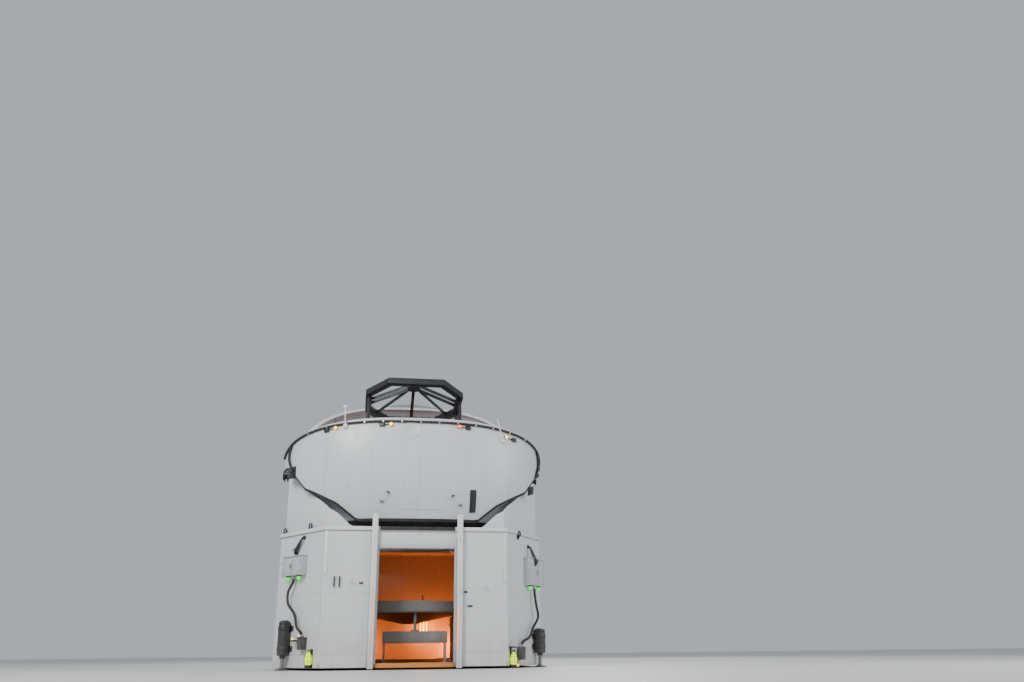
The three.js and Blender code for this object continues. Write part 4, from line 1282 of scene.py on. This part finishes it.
def makeLowBox(name, turn, c, place):
    x = place["side"] * place["lowBox"]
    half, deep = c["lowHalf"], c["lowDepth"]
    low, high = place["lowBottom"], place["lowTop"]
    bm = bmesh.new()
    addBox(bm, (x - half, -deep + 0.01, low), (x + half, -0.012, high - 0.022), turn)
    addBox(bm, (x - half, -deep, high - 0.0215), (x + half, -0.008, high), turn)
    addBox(bm, (x - half + 0.012, -deep + 0.002, low + 0.016), (x + half - 0.012, -deep + 0.0101, high - 0.036), turn)
    addBox(bm, (x - half + 0.02, -0.0119, low + 0.02), (x + half - 0.02, -0.0003, high - 0.04), turn)
    keep(name + "LowBox", bm, boxDark, replaced=(name + "_low_box",), bevel=0.0025)
    bm = bmesh.new()
    addUpright(bm, x + place["side"] * 0.05, -0.065, high - 0.001, high + 0.045, 0.034, 8, turn=turn)
    keep(name + "LowGland", bm, steel, bevel=0.001)
    out = turn.to_3x3() @ Vector(outward)
    places = [(turn @ Vector((x + dx, -deep - 0.001, z)), out)
              for dx in (-0.055, 0.055) for z in (low + 0.03, high - 0.05)]
    fasteners(name + "LowBolts", places, 0.006, 0.005, steel)


# Jar-shaped lamp near the ground, in a wire guard on a bracket
groundLamp = {
    "height": 0.31,
    "out": 0.068,
    "glass": ((0.045, 0.058), (0.06, 0.076), (0.11, 0.084), (0.165, 0.078), (0.21, 0.062), (0.245, 0.04),
              (0.264, 0.018)),
    "flat": 0.74,
    "wires": 8,
    "wire": ((0.056, 0.03), (0.0875, 0.07), (0.0885, 0.12), (0.078, 0.19), (0.054, 0.25), (0.018, 0.288)),
    "hoops": ((0.0885, 0.10), (0.0795, 0.18)),
}


def makeGroundLamp(name, turn, place, g):
    x, y, low = place["side"] * place["lamp"], -g["out"], place["lampLow"]
    top = low + g["height"]

    def guardPoint(radius, angle, z):
        return turn @ Vector((x + radius * math.cos(angle), y + radius * g["flat"] * math.sin(angle), low + z))

    bm = bmesh.new()
    addTurned(bm, turn, (x, y, low), (0, 0, 1), g["glass"], 32)
    centre = turn @ Matrix.Translation((x, y, 0))
    flatten = centre @ Matrix.Diagonal((1, g["flat"], 1, 1)) @ centre.inverted()
    bmesh.ops.transform(bm, matrix=flatten, verts=bm.verts)
    keep(name + "GroundLens", bm, limeLens, sharp=60)
    bm = bmesh.new()
    addUpright(bm, x, y, low, low + 0.0448, 0.055, 32, turn=turn)
    addUpright(bm, x, y, top - 0.03, top - 0.012, 0.022, 20, turn=turn)
    addBox(bm, (x - 0.03, y + 0.05, low + 0.004), (x + 0.03, -0.0003, low + 0.04), turn)
    addBox(bm, (x - 0.045, -0.006, low), (x + 0.045, -0.0003, top + 0.045 * place["hood"]), turn)
    if place["hood"]:
        hood = [(x + dx, y) for dx, y in ((-0.085, -0.006), (-0.085, -0.09), (-0.05, -0.125),
                                          (0.05, -0.125), (0.085, -0.09), (0.085, -0.006))]
        addPrism(bm, hood, top + 0.022, top + 0.034, turn)
        addPrism(bm, [(x * 0.1 + px * 0.9, py * 0.9 - 0.0006) for px, py in hood], top + 0.0341, top + 0.045, turn)
    for angle in circle(g["wires"]):
        addTube(bm, [guardPoint(radius, angle, z) for radius, z in g["wire"]], 0.003, 6)
    for radius, z in g["hoops"]:
        addTube(bm, [guardPoint(radius, angle, z) for angle in circle(32)], 0.0032, 6, closed=True)
    keep(name + "LampGuard", bm, blackSteel, replaced=(name + "_ground_lamp",))


# Lifting eyes, hanging struts and small lamps: outward place and height
cornerSmall = {
    "left": {"eyes": ((-0.20, 2.4705), (0.73, 2.4705)), "strut": ((-0.08, 2.33, 0.055), (0.17, 2.06, 0.06)),
             "lamps": ((-0.04, 0.52, 0.105), (-0.245, 0.5703, 0.09))},
    "right": {"eyes": ((-0.28, 2.36),), "strut": ((0.20, 2.22, 0.055), (0.20, 1.88, 0.195)),
              "lamps": ((-0.447, 0.03, 0.05),)},
    "lampGlass": ((0.0, 0.020), (0.022, 0.020), (0.032, 0.013), (0.036, 0.004)),
    "eyeRadius": 0.046,
}


def makeCornerSmall(name, turn, side, c):
    bm = bmesh.new()
    eye = c["eyeRadius"]
    for reach, z in c[name]["eyes"]:
        x = side * reach
        onLedge = z > cabin["ledgeTop"]
        y = 0.020 if onLedge else -0.040
        ring = [turn @ Vector((x + eye * math.cos(t), y, z + 0.062 + eye * math.sin(t))) for t in circle(28)]
        addTube(bm, ring, 0.013, 10, closed=True)
        if onLedge:
            addBox(bm, (x - 0.055, y - 0.03, z), (x + 0.055, y + 0.03, z + 0.012), turn)
        else:
            addRod(bm, (x, y, z + 0.002), (x, -0.0052, z + 0.002), 0.016, 16, turn=turn)
            addBox(bm, (x - 0.05, -0.012, z - 0.045), (x + 0.05, -0.0003, z + 0.035), turn)
    keep(name + "LiftingEyes", bm, blackSteel, sharp=45)
    a, b = (Vector((side * x, -out, z)) for x, z, out in c[name]["strut"])
    bm = bmesh.new()
    line = [turn @ a.lerp(b, t) for t in (0, 0.05, 0.3, 0.6, 0.9, 1)]
    addTube(bm, line, [0.012, 0.018, 0.026, 0.034, 0.034, 0.018], 18)
    addTube(bm, [turn @ a.lerp(b, 0.55), turn @ (b + Vector((side * 0.09, 0, 0.06)))], 0.011, 10)
    wall = -corner["boxDepth"] - 0.0085 if b.y < -0.15 else -0.0003
    for p, back in ((a, -0.0003), (b, wall)):
        addBox(bm, (p.x - 0.03, p.y + 0.018, p.z - 0.03), (p.x + 0.03, back, p.z + 0.03), turn)
    keep(name + "HangingStrut", bm, blackSteel, bevel=0.002)
    bm, glass = bmesh.new(), bmesh.new()
    for reach, z, out in c[name]["lamps"]:
        x = side * reach
        addBox(bm, (x - 0.022, -out - 0.022, z - 0.03), (x + 0.022, -0.0003, z - 0.0002), turn)
        addTurned(glass, turn, (x, -out, z), (0, 0, 1), c["lampGlass"], 18)
    keep(name + "SmallLampFeet", bm, blackSteel, bevel=0.002)
    keep(name + "SmallLamps", glass, yellowLens, sharp=50)


def makeCorner(name, c):
    place = c[name]
    turn = cornerFrame(place["side"], -1)
    makeCornerSmall(name, turn, place["side"], cornerSmall)
    makeHose(name, turn, c, place)
    makeServiceBox(name, turn, c, place)
    makeLowBox(name, turn, c, place)
    makeGroundLamp(name, turn, place, groundLamp)


for cornerName in ("left", "right"):
    makeCorner(cornerName, corner)
print("corner fittings done")

# Sheets inside the cabin: on its walls, clear of the doorway, and under the ledge beside its opening
lining = {"sheet": 0.006, "inset": 0.012, "doorHalf": 0.74, "pitch": 0.8, "gap": 0.002, "ledgeNear": 1.64}


def makeLining(l):
    bm = bmesh.new()
    base, top = cabin["floorTop"] + 0.004, cabin["wallTop"] - 0.03
    for i, (a, b) in enumerate(sides(cabinPlan(cabin["wall"] + 0.0003))):
        turn, length = wallFrame(a, b)
        end = length / 2 - l["inset"]
        for x0, x1 in ((-end, -l["doorHalf"]), (l["doorHalf"], end)) if i == 0 else ((-end, end),):
            count = max(1, round((x1 - x0) / l["pitch"]))
            width = (x1 - x0) / count
            for k in range(count):
                left = x0 + width * k
                addBox(bm, (left + l["gap"], 0, base), (left + width - l["gap"], l["sheet"], top), turn)
    near, far = l["ledgeNear"], cabin["halfDepth"] - cabin["wall"] - l["inset"]
    for k in (-1, 1):
        for x in (-1, 0, 1):
            addBox(bm, (x - 0.499, k * near, 2.4141), (x + 0.499, k * far, 2.4197))
        for x in (-0.49, 0.49):
            addBox(bm, (x - 0.489, k * (near - 0.007), 2.4141), (x + 0.489, k * (near - 0.0004), 2.4695))
    keep("cabinLining", bm, cabinLining, bevel=0.0015, segments=1)


makeLining(lining)

# Roller stands under the turntable's rim, on a cross of low beams
rollers = {"place": 1.16, "angles": (30, 150, 210, 330), "trackZ": 1.0, "wheelZ": 0.925}


def makeRollers(r):
    stands, wheels, beams = bmesh.new(), bmesh.new(), bmesh.new()
    p, axle = r["place"], r["wheelZ"]
    for angle in r["angles"]:
        turn = Matrix.Rotation(math.radians(angle), 4, "Z")
        addBox(beams, (0.02, -0.06, 0.1003), (p, 0.06, 0.16), turn)
        for half, z0, z1 in ((0.09, 0.1004, 0.125), (0.07, 0.125, axle - 0.13), (0.09, axle - 0.1299, axle - 0.09)):
            addBox(stands, (p - half, -half, z0), (p + half, half, z1), turn)
        for x in (p - 0.09, p + 0.062):
            addBox(stands, (x, -0.06, axle - 0.0899), (x + 0.028, 0.06, axle + 0.05), turn)
        for y in (-0.05, 0.05):
            addPrism(stands, [(p - 0.4, y - 0.006), (p - 0.07, y - 0.006), (p - 0.07, y + 0.006), (p - 0.4, y + 0.006)],
                     0.16, 0.17, turn)
        addRod(wheels, (p - 0.054, 0, axle), (p + 0.054, 0, axle), r["trackZ"] - axle - 0.0004, 32, turn=turn)
        addRod(wheels, (p - 0.098, 0, axle), (p + 0.098, 0, axle), 0.017, 16, turn=turn)
    keep("rollerStands", stands, frameGrey, replaced=("roller_base",), bevel=0.003)
    # The low beams' amber is painted light from the cabin's glow
    keep("rollerBeams", beams, beamPaintedLight, bevel=0.003)
    keep("rollerWheels", wheels, steel, bevel=0.003)


makeRollers(rollers)

# Trestle behind the door, with a post under the turntable
trestle = {
    "place": (0.06, -1.2),
    "low": 0.45,
    "high": 0.665,
    "half": 0.608,
    "depth": 0.11,
    "leg": 0.035,
    "panels": (-0.38, 0, 0.38),
}


def makeTrestle(t):
    midX, midY = t["place"]
    half, deep, leg, low, high = t["half"], t["depth"], t["leg"], t["low"], t["high"]
    face, track = midY - deep, rollers["trackZ"]
    bm = bmesh.new()
    addBox(bm, (midX - half, face, low), (midX + half, midY + deep, high))
    for x in (midX - half + leg, midX + half - leg):
        addBox(bm, (x - leg / 2, face, 0.112), (x + leg / 2, midY + deep, low - 0.0002))
        addBox(bm, (x - 0.06, face - 0.03, 0.1003), (x + 0.06, midY + deep + 0.03, 0.1119))
    for dx in t["panels"]:
        addBox(bm, (midX + dx - 0.11, face - 0.005, low + 0.035), (midX + dx + 0.11, face + 0.0001, high - 0.035))
    addUpright(bm, midX, midY, high - 0.001, high + 0.02, 0.075, 28)
    addUpright(bm, midX, midY, high + 0.02, track - 0.05, 0.028, 24)
    addUpright(bm, midX, midY, track - 0.0498, track - 0.0004, 0.028, 24, 0.02)
    keep("guideTrestle", bm, turntableGrey, replaced=("guide_trestle",), bevel=0.004)
    places = [(Vector((midX + dx + e, face - 0.008, z)), outward)
              for dx in t["panels"] for e in (-0.09, 0.09) for z in (low + 0.055, high - 0.055)]
    fasteners("trestleBolts", places, 0.008, 0.006, steel)


makeTrestle(trestle)

# Lamp on the rear wall, and the glow that it throws to both sides
wallLamp = {
    "x": (0.36, 0.57),
    "z": (0.715, 0.955),
    "deep": 0.06,
    "bars": 3,
    "colour": (1.0, 0.23, 0.035),
    "glows": (("cabinGlow", 0.465, 0.3, 0.75, 42), ("cabinGlowRight", 1.1, 0.32, 0.42, 60),
              ("cabinGlowLeft", -0.9, 0.32, 0.42, 34)),
}


def makeWallLamp(w):
    y = cabin["halfDepth"] - cabin["wall"] - 0.0003
    (x0, x1), (z0, z1), front = w["x"], w["z"], y - w["deep"]
    bm = bmesh.new()
    addBox(bm, (x0, y - 0.018, z0), (x1, y, z1))
    for z in (z0, z1 - 0.016):
        addBox(bm, (x0, front, z), (x1, y - 0.018, z + 0.016))
    keep("lampHousing", bm, frameGrey, replaced=("wall_lamp",), bevel=0.002)
    bm = bmesh.new()
    for k in range(w["bars"]):
        addUpright(bm, x0 + (x1 - x0) / w["bars"] * (k + 0.5), y - 0.04, z0 + 0.0165, z1 - 0.0165, 0.018, 20)
    keep("lampTubes", bm, wallLens)
    for name, x, out, z, power in w["glows"]:
        newLight(name, "POINT", (x, y - out, z), power, color=w["colour"], shadow_soft_size=0.25)


makeWallLamp(wallLamp)
print("inside done")

telescope = {
    "tilt": 10,
    "frame": (("centre_section", "centreSection", 0.006, 2), ("mirror_cell", "mirrorCell", 0.005, 2),
              ("top_ring", "topRing", 0.008, 3), ("left_truss", "leftTruss", 0.003, 1),
              ("right_truss", "rightTruss", 0.003, 1), ("spider", "spiderVanes", 0.002, 1)),
    "stop": (0.19, -1.31),
    "ringHalf": 1.065,
    "ringCorners": (0.59, 0.441),
    "ringSection": 0.14,
    "ringHeight": 1.79,
    "hubRise": 0.33,
    "hubRadius": 0.14,
    "conduit": ((0.16, 0.345), (0.90, 0.027)),
    "clips": (0.25, 0.5, 0.75),
}


def makeTelescope(t):
    # The turntable's underside carries painted shade below the track height
    for node, name, mat in (("fork_arm_left", "leftForkArm", forkCream), ("fork_arm_right", "rightForkArm", forkCream),
                            ("turntable", "turntableDisc", turntableShadedBelow)):
        refined(node, name, mat, 0.01, 3, "fork")
    x, y = t["stop"]
    bm = bmesh.new()
    addUpright(bm, x, y, 1.2203, 1.30, 0.010, 12)
    addRod(bm, (x - 0.028, y, 1.30), (x + 0.028, y, 1.30), 0.008, 12)
    keep("turntableStop", bm, blackSteel, "fork", sharp=45)
    refined("primary_mirror", "primaryMirror", mirrorSilver, 0.003, 2, "tube")
    for node, name, bevel, segments in t["frame"]:
        refined(node, name, tubeBlack, bevel, segments, "tube")
    turn = Matrix.Translation((0, 0, clamshell["pivotZ"])) @ Matrix.Rotation(-math.radians(t["tilt"]), 4, "X")
    up = turn.to_3x3() @ Vector((0, 0, 1))
    plan = alongPlan(insetPlan(eightCorners(t["ringHalf"], t["ringHalf"], *t["ringCorners"]), 0.03), 0.2)
    high = t["ringHeight"] + t["ringSection"] / 2 + 0.003
    places = [(turn @ Vector((p.x * share, p.y * share, high)), up) for share in (1, 0.9) for p in plan]
    fasteners("ringBolts", places, 0.011, 0.009, blackSteel, "tube")
    bm = bmesh.new()
    base, radius = t["ringHeight"] + t["hubRise"], t["hubRadius"]
    addUpright(bm, 0, 0, base - 0.02, base - 0.0002, radius * 0.8, 32, radius * 0.9, turn)
    for z in (base + 0.025, base + 0.063):
        addUpright(bm, 0, 0, z, z + 0.012, radius + 0.006, 40, turn=turn)
    keep("hubBands", bm, blackSteel, "tube", bevel=0.002)
    # Conduits beside the rear vane, clipped to it
    bm = bmesh.new()
    (near, nearRise), (far, farRise) = t["conduit"]
    for x in (-0.0235, 0.0235):
        addRod(bm, (x, near, t["ringHeight"] + nearRise), (x, far, t["ringHeight"] + farRise), 0.011, 14, turn=turn)
    for y in t["clips"]:
        z = t["ringHeight"] + farRise + (nearRise - farRise) * (far - y) / (far - near)
        for side in (-1, 1):
            addBox(bm, (side * 0.036, y - 0.01, z - 0.016), (side * 0.0123, y + 0.01, z + 0.016), turn)
    keep("vaneConduits", bm, tubeBlack, "tube", bevel=0.0015)


makeTelescope(telescope)
for sideName in ("left", "right"):
    refined(sideName + "_pivot_post", sideName + "PivotPost", blackSteel, 0.006)
print("telescope done")
